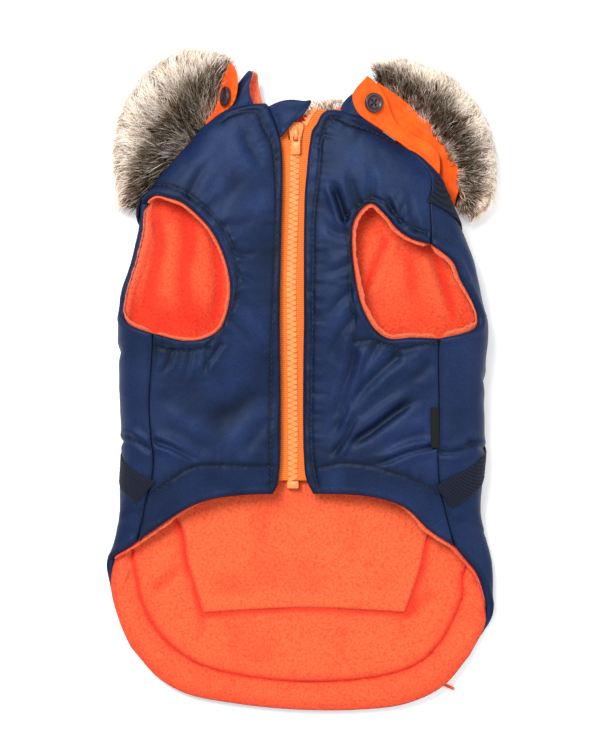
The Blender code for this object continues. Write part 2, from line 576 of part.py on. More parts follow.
def draped(name, slot, corners, thick, step=6.0, margin=2.6):
    """A loose piece of cloth in plan, its height spread between the heights of its corners."""
    corners = np.array(corners, float)
    closed = np.concatenate([corners, corners[:1]])
    line = np.array(smooth_line(closed, 4.0))[:-1]
    outline = line[:, :2]
    if area(outline) < 0:
        line = line[::-1]
        outline = outline[::-1]
    flat, triangles = triangulate(outline, plan_lattice(outline, step), margin)
    gap = flat[:, None, :] - line[None, :, :2]
    weight = 1 / (np.sum(gap * gap, 2) + 0.01) ** 1.5
    height = weight @ line[:, 2] / weight.sum(1)
    outer = np.column_stack([flat, height])
    inner = np.column_stack([flat, height - thick])
    return plate(name, slot, triangles, outer, inner)


def sausage(name, slot, path, sides=14, step=8.0):
    """A rounded body along a line on the surface, from rows of (x, y, half width, height)."""
    rings = []
    line = np.array(smooth_line(path, step))
    ahead = np.gradient(line[:, :2], axis=0)
    ahead /= np.linalg.norm(ahead, axis=1)[:, None]
    for (x, y, wide, high), (dx, dy) in zip(line, ahead):
        ring = []
        for k in range(sides):
            turn = 2 * math.pi * (k + 0.5) / sides
            out = wide * math.copysign(abs(math.cos(turn)) ** 0.8, math.cos(turn))
            up = max(0.0, high / 2 * (1 + 1.12 * math.sin(turn)))
            ring.append((x - dy * out, y + dx * out, min(up, high)))
        rings.append(ring)
    points = np.array([p for ring in rings for p in ring])
    faces = []
    for i in range(len(rings) - 1):
        for k in range(sides):
            a, b = i * sides + k, i * sides + (k + 1) % sides
            faces.append((a, b, b + sides, a + sides))
    faces.append(tuple(range(sides)))
    faces.append(tuple(len(points) - sides + k for k in reversed(range(sides))))
    return mesh_object(name, slot, points, faces)


def cushion(name, slot, corners, bottom, top, soft):
    """A flat-bottomed pad in plan, its upper rim rounded over."""
    outline = np.array(smooth_line(tuple(corners) + (corners[0],), 6.0))[:-1]
    if area(outline) < 0:
        outline = outline[::-1]
    rings = ((inset(outline, soft * 0.5), bottom), (outline, bottom + soft * 0.6),
             (outline, top - soft * 0.9), (inset(outline, soft * 0.35), top - soft * 0.25),
             (inset(outline, soft), top))
    count = len(outline)
    points = np.concatenate([np.column_stack([ring, np.full(count, z)]) for ring, z in rings])
    faces = []
    for i in range(len(rings) - 1):
        for k in range(count):
            a, b = i * count + k, i * count + (k + 1) % count
            faces.append((a, b, b + count, a + count))
    faces.append(tuple(reversed(range(count))))
    last = (len(rings) - 1) * count
    faces.append(tuple(last + k for k in range(count)))
    return mesh_object(name, slot, points, faces)


def box_mesh(low, high):
    shape = bmesh.new()
    size = [h - l for l, h in zip(low, high)]
    middle = [(l + h) / 2 for l, h in zip(low, high)]
    place = Matrix.Translation(Vector(middle) * MM) @ Matrix.Diagonal((*[s * MM for s in size], 1.0))
    bmesh.ops.create_cube(shape, size=1.0, matrix=place)
    return shape


def block(name, slot, low, high, bevel):
    """A box between two corners, with rounded edges."""
    shape = box_mesh(low, high)
    mesh = bpy.data.meshes.new(name)
    shape.to_mesh(mesh)
    shape.free()
    obj = finished(bpy.data.objects.new(name, mesh), slot)
    round_edges(obj, bevel)
    return obj


def round_edges(obj, width, segments=2):
    edge = obj.modifiers.new("rounded edges", "BEVEL")
    edge.width = width * MM
    edge.segments = segments
    edge.limit_method = "ANGLE"
    return edge


def boolean(obj, other, operation):
    joint = obj.modifiers.new(operation.lower(), "BOOLEAN")
    joint.operation = operation
    joint.object = other
    joint.solver = "EXACT"
    return joint


def guide(name, shape):
    """A shape that only cuts or joins another, kept out of the model."""
    mesh = bpy.data.meshes.new(name)
    shape.to_mesh(mesh)
    shape.free()
    obj = bpy.data.objects.new(name, mesh)
    obj.hide_render = True
    obj.display_type = "WIRE"
    cutters.objects.link(obj)
    return obj


# ---------------------------------------------------------------- the pieces

def make_fronts(places):
    for side, word in ((-1, "right"), (1, "left")):
        edge = unrolled(BODY, FRONT_EDGE[side])
        hem = unrolled(BODY, FRONT_HEM[side])
        seam = unrolled(BODY, SIDE_SEAM[side])[::-1]
        armhole = unrolled(BODY, ARMHOLE_FRONT[side])
        shoulder = unrolled(BODY, SHOULDER[side])
        neck = unrolled(BODY, FRONT_NECK[side])
        outline = inset(loop_of(edge, hem, seam, armhole, shoulder, neck), SEAM)
        panel(f"front_{word}_shell", "navy_nylon", BODY, outline, 0.0, SHELL, places)
        inner_edge = unrolled(BODY, [(x + side * TAPE_HIDDEN, y) for x, y in FRONT_EDGE[side]])
        hem = [inner_edge[-1]] + hem[2:]
        neck = neck[:-2] + [inner_edge[0]]
        outline = roll_out(inset(loop_of(inner_edge, hem, seam, armhole, shoulder, neck), SEAM), armhole)
        panel(f"front_{word}_lining", "coral_fleece", BODY, outline, LINING_TOP, LINING, places)


def roll_out(outline, armhole):
    """The outline with its points along the armhole moved out to make the lip."""
    curve = np.array(smooth_line(armhole, 2.0))
    moved = outline.copy()
    for i, p in enumerate(outline):
        away = np.linalg.norm(curve - p, axis=1)
        ends = min(np.linalg.norm(p - curve[0]), np.linalg.norm(p - curve[-1]))
        if away.min() < 1.0 and ends > 6.0:
            ahead = outline[(i + 1) % len(outline)] - outline[i - 1]
            out = np.array([ahead[1], -ahead[0]]) / np.linalg.norm(ahead)
            moved[i] = p + out * LIP
    return moved


def make_back(places):
    neck = unrolled(BODY, BACK_NECK)
    seams = {side: unrolled(BODY, SIDE_SEAM[side]) for side in (-1, 1)}
    armholes = {side: unrolled(BODY, ARMHOLE_BACK[side]) for side in (-1, 1)}
    shoulders = {side: unrolled(BODY, SHOULDER[side]) for side in (-1, 1)}
    hems = {side: unrolled(BODY, BACK_HEM[side]) for side in (-1, 1)}
    tail = unrolled(BODY, TAIL_EDGE)
    upper_left = (shoulders[1][::-1], armholes[1])
    upper_right = (armholes[-1][::-1], shoulders[-1])
    outline = inset(loop_of(neck, *upper_left, seams[1], hems[1], tail[::-1], hems[-1][::-1],
                            seams[-1][::-1], *upper_right), SEAM)
    panel("back_shell", "navy_nylon", BODY, outline, 0.0, SHELL, places)

    first = unrolled(BODY, LINING_SEAM[0])
    bottom = unrolled(BODY, LINING_SEAM[1])
    last = unrolled(BODY, LINING_SEAM[2])
    outline = inset(loop_of(neck, *upper_left, above(seams[1], last[-1]), last[::-1], bottom[::-1],
                            first[::-1], above(seams[-1], first[0])[::-1], *upper_right), SEAM)
    for armhole in armholes.values():
        outline = roll_out(outline, armhole)
    panel("back_lining", "coral_fleece", BODY, outline, LINING_TOP, LINING, places)

    casing = unrolled(BODY, CASING_SEAM)
    outline = inset(loop_of(first, bottom, last, between(seams[1], last[-1], casing[-1]), casing[::-1],
                            between(seams[-1], first[0], casing[0])[::-1]), SEAM + 0.15)
    panel("tail_lining", "coral_fleece", BODY, outline, LINING_TOP, LINING, places)
    outline = inset(loop_of(casing, below(seams[1], casing[-1]), hems[1], tail[::-1], hems[-1][::-1],
                            below(seams[-1], casing[0])[::-1]), SEAM + 0.15)
    panel("tail_band", "coral_fleece", BODY, outline, LINING_TOP, LINING, places)


def above(seam, place):
    """The seam's points above a place on it, ending at that place."""
    return [p for p in seam if p[1] > place[1] + 3.0] + [place]


def below(seam, place):
    return [place] + [p for p in seam if p[1] < place[1] - 3.0]


def between(seam, start, end):
    return [start] + [p for p in seam if end[1] + 3.0 < p[1] < start[1] - 3.0] + [end]


def make_collar():
    outline = inset(loop_of(*[unrolled(COLLAR, rows) for rows in COLLAR_EDGE]), SEAM)
    lines = (0.0, 0.3, 0.6, 0.86, 1.0, 1.34, 1.68, 2.0, 2.33, 2.67, 3.0, 3.2, 3.4)
    places = np.array([(spread(side * v), y) for y in np.arange(136.0, 180.0, 7.0) for v in lines
                       for side in (-1, 1) if v or side > 0])
    panel("collar_shell", "navy_nylon", COLLAR, outline, 0.0, COLLAR_SHELL, places)
    panel("collar_lining", "coral_fleece", COLLAR, outline, COLLAR_SHELL + 0.4, COLLAR_LINING, places)


def zip_middle(y):
    """Height of the cloth's outer face over the zip, at y."""
    return float(BODY.point(np.array(4.0), np.array(float(y)))[2])


def zip_x(y):
    rows = sorted(ZIP_LINE)
    return float(np.interp(y, [p[0] for p in rows], [p[1] for p in rows]))


def strip(name, slot, rows, top, thick):
    """A flat tape from rows of (left x, right x, y), a depth below the cloth over the zip."""
    outer, inner = [], []
    for side in (0, 1):
        for row in rows:
            z = zip_middle(row[2]) - top
            outer.append((row[side], row[2], z))
            inner.append((row[side], row[2], z - thick))
    count = len(rows)
    quads = [(i, i + count, i + count + 1, i + 1) for i in range(count - 1)]
    return plate_of_quads(name, slot, quads, np.array(outer), np.array(inner))


def edge_x(side, y):
    rows = sorted(FRONT_EDGE[side], key=lambda p: p[1])
    return float(np.interp(y, [p[1] for p in rows], [p[0] for p in rows]))


def make_zip():
    tape_top = LINING_TOP + 0.2
    low_y, high_y = STOP_Y[1] + 2 * CLEAR, SLIDER_Y[0] - CLEAR
    levels = list(np.linspace(low_y, high_y, 16))
    beside = [(y, CHAIN / 2 + CLEAR, 0.0) for y in levels]
    beside += [(y, SLIDER_WING + 2 * CLEAR, TAPE_SHORT) for y in (SLIDER_Y[0] + 4 * CLEAR, SLIDER_Y[1])]
    for side, word in ((-1, "right"), (1, "left")):
        rows = []
        for y, half, short in beside:
            hidden = edge_x(side, y) + side * (TAPE_HIDDEN - TAPE_SHORT - short)
            rows.append((*sorted((hidden, zip_x(y) + side * half)), y))
        strip(f"zip_tape_{word}", "orange_tape", rows + list(TAPE_BEND if side > 0 else ()),
              tape_top, TAPE_THICK)
    chain_top = tape_top + TAPE_THICK / 2 - CHAIN_THICK / 2
    chain = [(zip_x(y) - CHAIN / 2, zip_x(y) + CHAIN / 2, y) for y in levels]
    strip("zip_chain", "orange_resin", chain, chain_top, CHAIN_THICK)
    x = zip_x(STOP_Y[0])
    z = zip_middle(STOP_Y[0]) - chain_top + CLEAR
    block("zip_stop", "orange_resin", (x - STOP_WIDE / 2, STOP_Y[0], z - STOP_THICK),
          (x + STOP_WIDE / 2, low_y - CLEAR, z), 0.6)
    make_slider(zip_middle(SLIDER_Y[0]) - chain_top)


def make_slider(chain_z):
    """Slider body with its bridge, and the pull whose crossbar lies under the bridge."""
    top = chain_z + SLIDER_OVER
    bottom = chain_z - CHAIN_THICK - SLIDER_OVER
    low_y, high_y = SLIDER_Y
    long = high_y - low_y
    x_mid = zip_x(high_y)
    # Half of the body's outline, as (half width, share of the length), from the lower end up.
    profile = ((SLIDER_NOSE, 0.0), (SLIDER_NOSE + 0.3, 0.4), (SLIDER_WING - 0.1, 0.65),
               (SLIDER_WING, 0.92), (SLIDER_WING / 3, 1.0))
    right = [(half, low_y + share * long) for half, share in profile]
    wings = right + [(-half, y) for half, y in reversed(right)]
    points = [(x_mid + x, y, z) for z in (bottom, top) for x, y in wings]
    count = len(wings)
    faces = [tuple(reversed(range(count))), tuple(range(count, 2 * count))]
    faces += [(k, (k + 1) % count, (k + 1) % count + count, k + count) for k in range(count)]
    slider = mesh_object("zip_slider", "orange_resin", points, faces)
    post_y = PIVOT_Y - CROSSBAR / 2 - CLEAR - BRIDGE_POST
    bridge_y = high_y - BRIDGE_END
    bridge = box_mesh((x_mid - BRIDGE_WIDE / 2, post_y, top - SLIDER_OVER / 2),
                      (x_mid + BRIDGE_WIDE / 2, bridge_y, top + BRIDGE_HIGH))
    boolean(slider, guide("bridge", bridge), "UNION")
    slot = box_mesh((x_mid - BRIDGE_WIDE, post_y + BRIDGE_POST, top),
                    (x_mid + BRIDGE_WIDE, bridge_y - BRIDGE_POST, top + BRIDGE_HIGH - BRIDGE_BAR))
    boolean(slider, guide("bridge_slot", slot), "DIFFERENCE")
    round_edges(slider, 0.25, 1)

    level = top + PULL_PLAY
    pull = block("zip_pull", "orange_resin", (x_mid - PULL_WIDE / 2, PULL_END, level),
                 (x_mid + PULL_WIDE / 2, PIVOT_Y + CROSSBAR / 2, level + PULL_THICK), 0.0)
    pull.modifiers.clear()
    half = BRIDGE_WIDE / 2 + PULL_PLAY
    eye = box_mesh((x_mid - half, PIVOT_Y - CROSSBAR / 2 - PULL_EYE, level - PULL_THICK),
                   (x_mid + half, PIVOT_Y - CROSSBAR / 2, level + 2 * PULL_THICK))
    boolean(pull, guide("pull_eye", eye), "DIFFERENCE")
    round_edges(pull, 0.3, 1)
    place_origin(pull, (x_mid, PIVOT_Y, level + PULL_THICK / 2))


def place_origin(obj, at):
    """Moves the object's origin to a point in millimetres, its shape left where it is."""
    at = Vector(at) * MM
    obj.data.transform(Matrix.Translation(-at))
    obj.location = at


def make_guard():
    draped("zip_guard", "navy_nylon", GUARD, GUARD_THICK, step=5.0, margin=2.0)


def make_hood():
    draped("hood_band_left", "orange_cloth", BAND_LEFT, BAND_THICK)
    draped("hood_band_right", "orange_cloth", BAND_RIGHT, BAND_RIGHT_THICK, step=4.0, margin=1.8)
    draped("hood_lining_left", "orange_cloth", HOOD_LINING_LEFT, BAND_THICK)
    cushion("hood_shell", "navy_nylon", HOOD_SHELL_EDGE, 0.0, HOOD_SHELL_TOP, 3.0)
    sausage("fur_right", "fur", FUR_RIGHT)
    sausage("fur_left", "fur", FUR_LEFT)
    sausage("fur_nape", "fur", FUR_NAPE)


def make_button(name, at, normal):
    """A turned button with four holes, its back on the cloth at a point, facing along the normal."""
    r, t = BUTTON_D / 2, BUTTON_THICK
    # The profile runs from the middle of the dish over the rim to the middle of the back.
    line = ((0, t - BUTTON_DISH), (r - 2.4, t - BUTTON_DISH), (r - 1.6, t - 0.1), (r - 1.0, t),
            (r - 0.3, t - 0.3), (r, t * 0.55), (r - 0.6, 0.3), (r - 1.6, 0.0), (0, 0))
    mesh = bpy.data.meshes.new(name)
    mesh.from_pydata([(x * MM, 0, z * MM) for x, z in line], [(i, i + 1) for i in range(len(line) - 1)], [])
    obj = finished(bpy.data.objects.new(name, mesh), "button_resin")
    turn = obj.modifiers.new("turned", "SCREW")
    turn.steps = turn.render_steps = 20
    turn.use_merge_vertices = True
    turn.merge_threshold = 0.00005
    shape = bmesh.new()
    for k in range(4):
        angle = math.pi / 4 + k * math.pi / 2
        spot = Vector((math.cos(angle) * BUTTON_PITCH, math.sin(angle) * BUTTON_PITCH, t / 2)) * MM
        bmesh.ops.create_cone(shape, cap_ends=True, segments=8, radius1=BUTTON_HOLE * MM,
                              radius2=BUTTON_HOLE * MM, depth=3 * t * MM,
                              matrix=Matrix.Translation(spot))
    holes = guide(f"{name}_holes", shape)
    boolean(obj, holes, "DIFFERENCE")
    up = Vector(normal).normalized()
    pose = Matrix.Translation(Vector(at) * MM) @ up.to_track_quat("Z", "Y").to_matrix().to_4x4()
    obj.matrix_world = pose
    holes.matrix_world = pose
    return obj


def make_buttons():
    for name, (at, normal) in BUTTONS.items():
        make_button(name, at, normal)


def make_straps():
    """Two webbing straps that cross on the back, the first lying over the second."""
    ends = np.array(unrolled(BODY, STRAP_A + STRAP_B))
    start, end = ends[:2]
    other = ends[2:]
    outside = -(STRAP_GAP + WEBBING_THICK)
    line_b = strap_line(*other)
    ribbon("strap_b", "webbing", BODY, line_b, WEBBING, outside, WEBBING_THICK)
    line_a = strap_line(start, end)
    slope_a = (end - start)[1] / (end - start)[0]
    slope_b = (other[1] - other[0])[1] / (other[1] - other[0])[0]
    cross_q = (other[0][1] - start[1] + slope_a * start[0] - slope_b * other[0][0]) / (slope_a - slope_b)
    away = np.clip((np.abs(line_a[:, 0] - cross_q) - HUMP_HALF) / HUMP_SLOPE, 0, 1)
    hump = 1 - away * away * (3 - 2 * away)
    depth = outside - hump * (WEBBING_THICK + CLEAR)
    ribbon("strap_a", "webbing", BODY, line_a, WEBBING, depth, WEBBING_THICK)


def strap_line(start, end):
    """A strap's middle line on the unrolled cloth, with its points closer where the side is round."""
    line = [start]
    reach = np.linalg.norm(end - start)
    ahead = (end - start) / reach
    run = 0.7
    while run < reach - 0.7:
        at = start + ahead * run
        line.append(at)
        run += 2.5 if abs(at[0]) > LENGTH_AT[1] - 6.0 else 5.0
    return np.array(line[1:] + [end - ahead * 0.7])


def make_label():
    ends = [(spread(BODY.place(x, y, "top")), y) for x, y in LABEL]
    line = [np.array(ends[0]) + (np.array(ends[1]) - ends[0]) * t for t in np.linspace(0, 1, 5)]
    ribbon("side_label", "label_tape", BODY, line, LABEL_WIDE, -(CLEAR + LABEL_THICK), LABEL_THICK)


def make_cord():
    """The drawcord's end, lying on the surface under the lifted edge of the tail."""
    points = smooth_line(CORD_ROUTE, CORD_D * 1.6)
    curve = bpy.data.curves.new("hem_cord", "CURVE")
    curve.dimensions = "3D"
    curve.bevel_depth = CORD_D / 2 * MM
    curve.bevel_resolution = 2
    curve.use_fill_caps = True
    spline = curve.splines.new("POLY")
    spline.points.add(len(points) - 1)
    for point, (x, y) in zip(spline.points, points):
        point.co = (x * MM, y * MM, CORD_D / 2 * MM, 1.0)
    finished(bpy.data.objects.new("hem_cord", curve), "orange_cloth")


for thing in list(bpy.data.objects):
    bpy.data.objects.remove(thing, do_unlink=True)
parts = bpy.data.collections.new(NAME)
cutters = bpy.data.collections.new(f"{NAME}_cutters")
for group in (parts, cutters):
    bpy.context.scene.collection.children.link(group)

inner_places = lattice()
make_back(inner_places)
make_fronts(inner_places)
make_collar()
make_zip()
make_guard()
make_hood()
make_buttons()
make_straps()
make_label()
make_cord()
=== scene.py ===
"""Looks of the dog vest: padded nylon, fleece, zip, webbing, hood and fur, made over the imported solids.

Lengths are in millimetres until a mesh is made, and metres in the scene. +Y runs to the neck and +Z up.
The wearer's right is -X and the left is +X. The cloth follows the same flattened tube as the solids: a place
on it is (v, y, depth), where v runs from 0 at the middle of the back to 1 where the side starts to round up,
2 at the outermost point of the side, 3 where the belly side starts and 4 at the zip, negative on the
wearer's right, and depth is how far the place lies inside the outer cloth. q is v as a length of cloth.
"""
import math

import bmesh
import bpy
import numpy as np
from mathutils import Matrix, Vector
from mathutils.geometry import delaunay_2d_cdt


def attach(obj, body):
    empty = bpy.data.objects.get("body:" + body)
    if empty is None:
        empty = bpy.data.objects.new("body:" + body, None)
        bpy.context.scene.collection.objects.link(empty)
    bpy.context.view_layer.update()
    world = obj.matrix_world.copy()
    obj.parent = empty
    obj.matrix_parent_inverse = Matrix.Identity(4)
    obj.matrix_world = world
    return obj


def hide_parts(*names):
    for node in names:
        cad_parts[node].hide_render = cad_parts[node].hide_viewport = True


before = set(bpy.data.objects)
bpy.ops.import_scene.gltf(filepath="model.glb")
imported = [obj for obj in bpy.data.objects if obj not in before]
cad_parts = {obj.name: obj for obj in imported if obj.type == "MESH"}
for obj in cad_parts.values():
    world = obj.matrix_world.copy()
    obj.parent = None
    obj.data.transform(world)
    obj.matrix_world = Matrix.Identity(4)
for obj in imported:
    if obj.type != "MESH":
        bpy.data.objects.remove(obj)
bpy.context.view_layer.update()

MM = 0.001

# ---------------------------------------------------------------- materials

class Nodes:
    """Small helper that adds nodes to a material and links them."""

    def __init__(self, name):
        self.material = bpy.data.materials.new(name)
        self.material.use_nodes = True
        self.tree = self.material.node_tree
        self.shader = self.tree.nodes["Principled BSDF"]
        self.place = self.add("ShaderNodeTexCoord").outputs["Object"]

    def add(self, kind, **values):
        node = self.tree.nodes.new(kind)
        for key, value in values.items():
            setattr(node, key, value)
        return node

    def link(self, source, target):
        self.tree.links.new(source, target)

    def feed(self, socket, value):
        """Sets a socket to a number or a colour, or links it to another node's output."""
        if isinstance(value, (int, float)):
            socket.default_value = value
        elif isinstance(value, tuple):
            socket.default_value = (*value, 1.0)
        else:
            self.link(value, socket)

    def noise(self, scale, detail=3.0, rough=0.55):
        node = self.add("ShaderNodeTexNoise")
        node.inputs["Scale"].default_value = scale
        node.inputs["Detail"].default_value = detail
        node.inputs["Roughness"].default_value = rough
        self.link(self.place, node.inputs["Vector"])
        return node.outputs["Fac"]

    def cells(self, scale, feature):
        node = self.add("ShaderNodeTexVoronoi", feature=feature)
        node.inputs["Scale"].default_value = scale
        self.link(self.place, node.inputs["Vector"])
        return node.outputs["Distance"]

    def tint(self):
        """The colour that each point of the mesh carries."""
        return self.add("ShaderNodeAttribute", attribute_name="tint").outputs["Color"]

    def waves(self, pitch, direction):
        """Threads of a weave, a pitch in metres apart."""
        node = self.add("ShaderNodeTexWave", wave_type="BANDS", bands_direction=direction)
        node.inputs["Scale"].default_value = math.pi / 10 / pitch
        self.link(self.place, node.inputs["Vector"])
        return node.outputs["Fac"]

    def ramp(self, factor, *stops):
        node = self.add("ShaderNodeValToRGB")
        while len(node.color_ramp.elements) < len(stops):
            node.color_ramp.elements.new(0.5)
        for element, (place, colour) in zip(node.color_ramp.elements, stops):
            element.position = place
            element.color = (*colour, 1.0)
        self.link(factor, node.inputs["Fac"])
        return node.outputs["Color"]

    def value(self, factor, low, high):
        """A number from low to high as the factor goes from 0 to 1."""
        node = self.add("ShaderNodeMapRange")
        for name, number in (("To Min", low), ("To Max", high)):
            node.inputs[name].default_value = number
        self.link(factor, node.inputs["Value"])
        return node.outputs["Result"]

    def mix(self, factor, first, second, kind="MIX"):
        node = self.add("ShaderNodeMix", data_type="RGBA", blend_type=kind)
        sockets = {s.identifier: s for s in node.inputs}
        for key, value in (("Factor_Float", factor), ("A_Color", first), ("B_Color", second)):
            self.feed(sockets[key], value)
        return next(s for s in node.outputs if s.identifier == "Result_Color")

    def bump(self, height, distance, strength=1.0, over=None):
        node = self.add("ShaderNodeBump")
        node.inputs["Distance"].default_value = distance
        node.inputs["Strength"].default_value = strength
        self.link(height, node.inputs["Height"])
        if over is not None:
            self.link(over, node.inputs["Normal"])
        return node.outputs["Normal"]

    def finish(self, colour, roughness, normal=None, **plain):
        for socket, value in (("Base Color", colour), ("Roughness", roughness), ("Normal", normal)):
            if value is not None:
                self.feed(self.shader.inputs[socket], value)
        for socket, value in plain.items():
            self.shader.inputs[socket.replace("_", " ")].default_value = value
        return self.material


def nylon():
    """Navy nylon satin: a fine plain weave, softly uneven in colour and gloss, with small crinkles."""
    n = Nodes("navy nylon")
    cloud = n.noise(38.0, 3.0)
    colour = n.ramp(cloud, (0.3, (0.0050, 0.0130, 0.050)), (0.72, (0.0090, 0.0205, 0.072)))
    # The tint attribute multiplies in painted shade at creases, seams, edges and stitches, and painted sheen
    # in patches.
    colour = n.mix(1.0, colour, n.tint(), "MULTIPLY")
    grain = n.ramp(n.noise(1300.0, 2.0, 0.6), (0.30, (0.62, 0.64, 0.66)), (0.70, (1.42, 1.38, 1.34)))
    colour = n.mix(1.0, colour, grain, "MULTIPLY")
    rough = n.value(n.noise(120.0), 0.44, 0.56)
    crinkle = n.bump(n.noise(150.0, 4.0, 0.6), 0.0008, 0.30)
    weave = n.mix(0.5, n.waves(0.00045, "X"), n.waves(0.00045, "Y"))
    normal = n.bump(weave, 0.00006, 0.6, crinkle)
    return n.finish(colour, rough, normal, Specular_IOR_Level=0.30, Specular_Tint=(0.50, 0.66, 1.0, 1.0))


def fleece():
    """Coral fleece: a felted pile in small pebbles, with painted shade that leaves each pebble lighter on top
    and darker in between.
    """
    n = Nodes("coral fleece")
    pebble = n.cells(860.0, "SMOOTH_F1")
    fuzz = n.noise(900.0, 4.0, 0.7)
    cloud = n.noise(60.0, 2.0)
    tuft = n.mix(0.35, n.ramp(pebble, (0.0, (1, 1, 1)), (0.8, (0, 0, 0))), fuzz)
    colour = n.ramp(tuft, (0.25, (0.69, 0.067, 0.017)), (0.60, (0.84, 0.124, 0.037)))
    colour = n.mix(n.value(cloud, 0.0, 0.08), colour, (0.88, 0.080, 0.020))
    # The tint attribute multiplies in painted shade in hollows, creases and by seams, a painted highlight on
    # the lips, and the collar's paler colour.
    colour = n.mix(1.0, colour, n.tint(), "MULTIPLY")
    normal = n.bump(tuft, 0.0006, 0.7)
    return n.finish(colour, 0.95, normal, Sheen_Weight=0.22, Sheen_Roughness=0.6,
                    Sheen_Tint=(1.0, 0.50, 0.30, 1.0))


def lining_cloth():
    """Orange woven cloth of the hood's band and lining."""
    n = Nodes("orange cloth")
    cloud = n.noise(90.0, 3.0)
    colour = n.ramp(cloud, (0.3, (0.95, 0.085, 0.002)), (0.7, (1.0, 0.135, 0.006)))
    weave = n.mix(0.5, n.waves(0.0006, "X"), n.waves(0.0006, "Y"))
    normal = n.bump(weave, 0.00015, 0.6, n.bump(n.noise(240.0, 3.0), 0.0009, 0.4))
    return n.finish(colour, n.value(n.noise(200.0), 0.60, 0.78), normal,
                    Specular_IOR_Level=0.25, Sheen_Weight=0.05)


def ribbed(name, low, high, pitch, direction, rough):
    """A tape with ribs across or along it."""
    n = Nodes(name)
    ribs = n.waves(pitch, direction)
    colour = n.ramp(n.mix(0.4, ribs, n.noise(600.0)), (0.25, low), (0.75, high))
    normal = n.bump(ribs, 0.00022, 0.6, n.bump(n.noise(1200.0, 3.0), 0.0003, 0.5))
    return n.finish(colour, rough, normal, Specular_IOR_Level=0.25, Sheen_Weight=0.05)


def resin(name, low, high, rough, grain=300.0):
    """Moulded plastic, slightly uneven in tone and gloss."""
    n = Nodes(name)
    colour = n.ramp(n.noise(grain, 4.0), (0.3, low), (0.7, high))
    normal = n.bump(n.noise(1500.0, 2.0), 0.00008, 0.5)
    return n.finish(colour, n.value(n.noise(500.0), rough - 0.06, rough + 0.08), normal)


NYLON = nylon()
FLEECE = fleece()
ORANGE_CLOTH = lining_cloth()
ZIP_TAPE = ribbed("orange zip tape", (0.84, 0.135, 0.015), (0.98, 0.24, 0.040), 0.0011, "Y", 0.8)
WEBBING_CLOTH = ribbed("dark webbing", (0.0015, 0.0030, 0.0100), (0.0070, 0.0110, 0.0290), 0.0012, "DIAGONAL",
                       0.85)
LABEL_CLOTH = ribbed("label tape", (0.0012, 0.0012, 0.0016), (0.005, 0.005, 0.006), 0.0006, "Y", 0.7)
RESIN = resin("orange resin", (0.94, 0.24, 0.055), (1.0, 0.34, 0.095), 0.38)
BUTTON_RESIN = resin("button resin", (0.022, 0.010, 0.014), (0.060, 0.034, 0.044), 0.34, 220.0)
THREAD = resin("navy thread", (0.006, 0.013, 0.044), (0.012, 0.024, 0.070), 0.7)


SHELL = 4.2                # padded nylon wall
LINING_TOP = 4.9           # depth of the fleece's outer face under the nylon's
LINING = 2.0               # fleece wall
SEAM = 0.25                # each panel stops this far short of its seam line
TAPE_HIDDEN = 9.0          # zip tape hidden under each front edge
CHAIN_THICK = 2.6
TAPE_THICK = 1.1
WEBBING = 15.0             # strap width
WEBBING_THICK = 1.2
CLEAR = 0.3                # gap between pieces that touch
STRAP_GAP = 0.5            # and between the straps and the cloth they lie on
BUTTON_D = 11.5
BUTTON_THICK = 2.6
BUTTON_DISH = 0.9          # depth of the dish that the holes are in
BUTTON_HOLE = 0.6          # radius of a hole
BUTTON_PITCH = 1.5         # from the middle to a hole
CORD_D = 1.8

ROUND_LOW = 15.0           # rounding of the side towards the back
ROUND_HIGH = 21.0          # and towards the belly
TAIL_FADE = 25.0           # length over which a side opens out into the flat tail
TAIL_START = {-1: -100.0, 1: -130.0}

# Sections of the body tube: where the sides reach, how high the back lies above the surface, and the
# heights of the zip, the fullest part of the front and the side's outermost point above the back.
BODY_COLUMNS = ("y", "right", "left", "base", "zip", "crown", "side")
BODY_ROWS = (
    (-196, -112.0, 112.0, 0.0, 15.0, 16.0, 8.0),
    (-150, -112.0, 112.0, 0.0, 15.0, 16.0, 8.0),
    (-130, -112.0, 111.0, 0.0, 15.0, 16.0, 8.0),
    (-117, -111.8, 110.4, 0.0, 15.0, 16.0, 8.0),
    (-103, -111.0, 108.5, 0.0, 15.0, 16.5, 8.4),
    (-92, -106.5, 106.0, 0.0, 15.0, 18.0, 9.0),
    (-78, -103.2, 103.4, 0.5, 15.2, 20.0, 10.0),
    (-62, -102.0, 103.2, 1.6, 15.6, 23.0, 11.2),
    (-40, -100.8, 104.8, 1.9, 16.0, 25.5, 12.0),
    (-12, -102.2, 104.6, 2.0, 16.0, 26.5, 12.4),
    (10, -102.6, 105.2, 4.2, 16.0, 26.5, 12.4),
    (34, -103.4, 106.8, 7.8, 16.0, 26.0, 12.0),
    (50, -101.6, 102.4, 9.3, 16.0, 25.5, 12.0),
    (67, -96.4, 98.0, 9.5, 16.0, 25.0, 12.0),
    (85, -92.2, 92.0, 9.5, 16.0, 24.5, 11.8),
    (102, -90.0, 84.6, 9.5, 16.0, 23.5, 11.5),
    (117, -79.2, 78.8, 9.5, 15.8, 22.0, 11.0),
    (127, -70.4, 69.0, 9.5, 15.6, 20.5, 10.5),
    (135, -63.4, 58.6, 9.5, 15.4, 19.0, 10.0),
    (143, -56.2, 47.0, 9.5, 15.2, 18.0, 9.5),
    (152, -46.0, 37.5, 9.5, 15.0, 17.0, 9.0),
    (160, -38.0, 33.0, 9.5, 15.0, 17.0, 9.0),
)
ZIP_X = -4.0               # the valley down the front
# The zip's own line down that valley, as (y, x).
ZIP_LINE = ((-62.0, -4.1), (-29.0, -4.0), (20.0, -4.6), (52.0, -5.0), (68.0, -4.6), (100.0, -3.5),
            (128.0, -2.8), (146.0, -2.4))

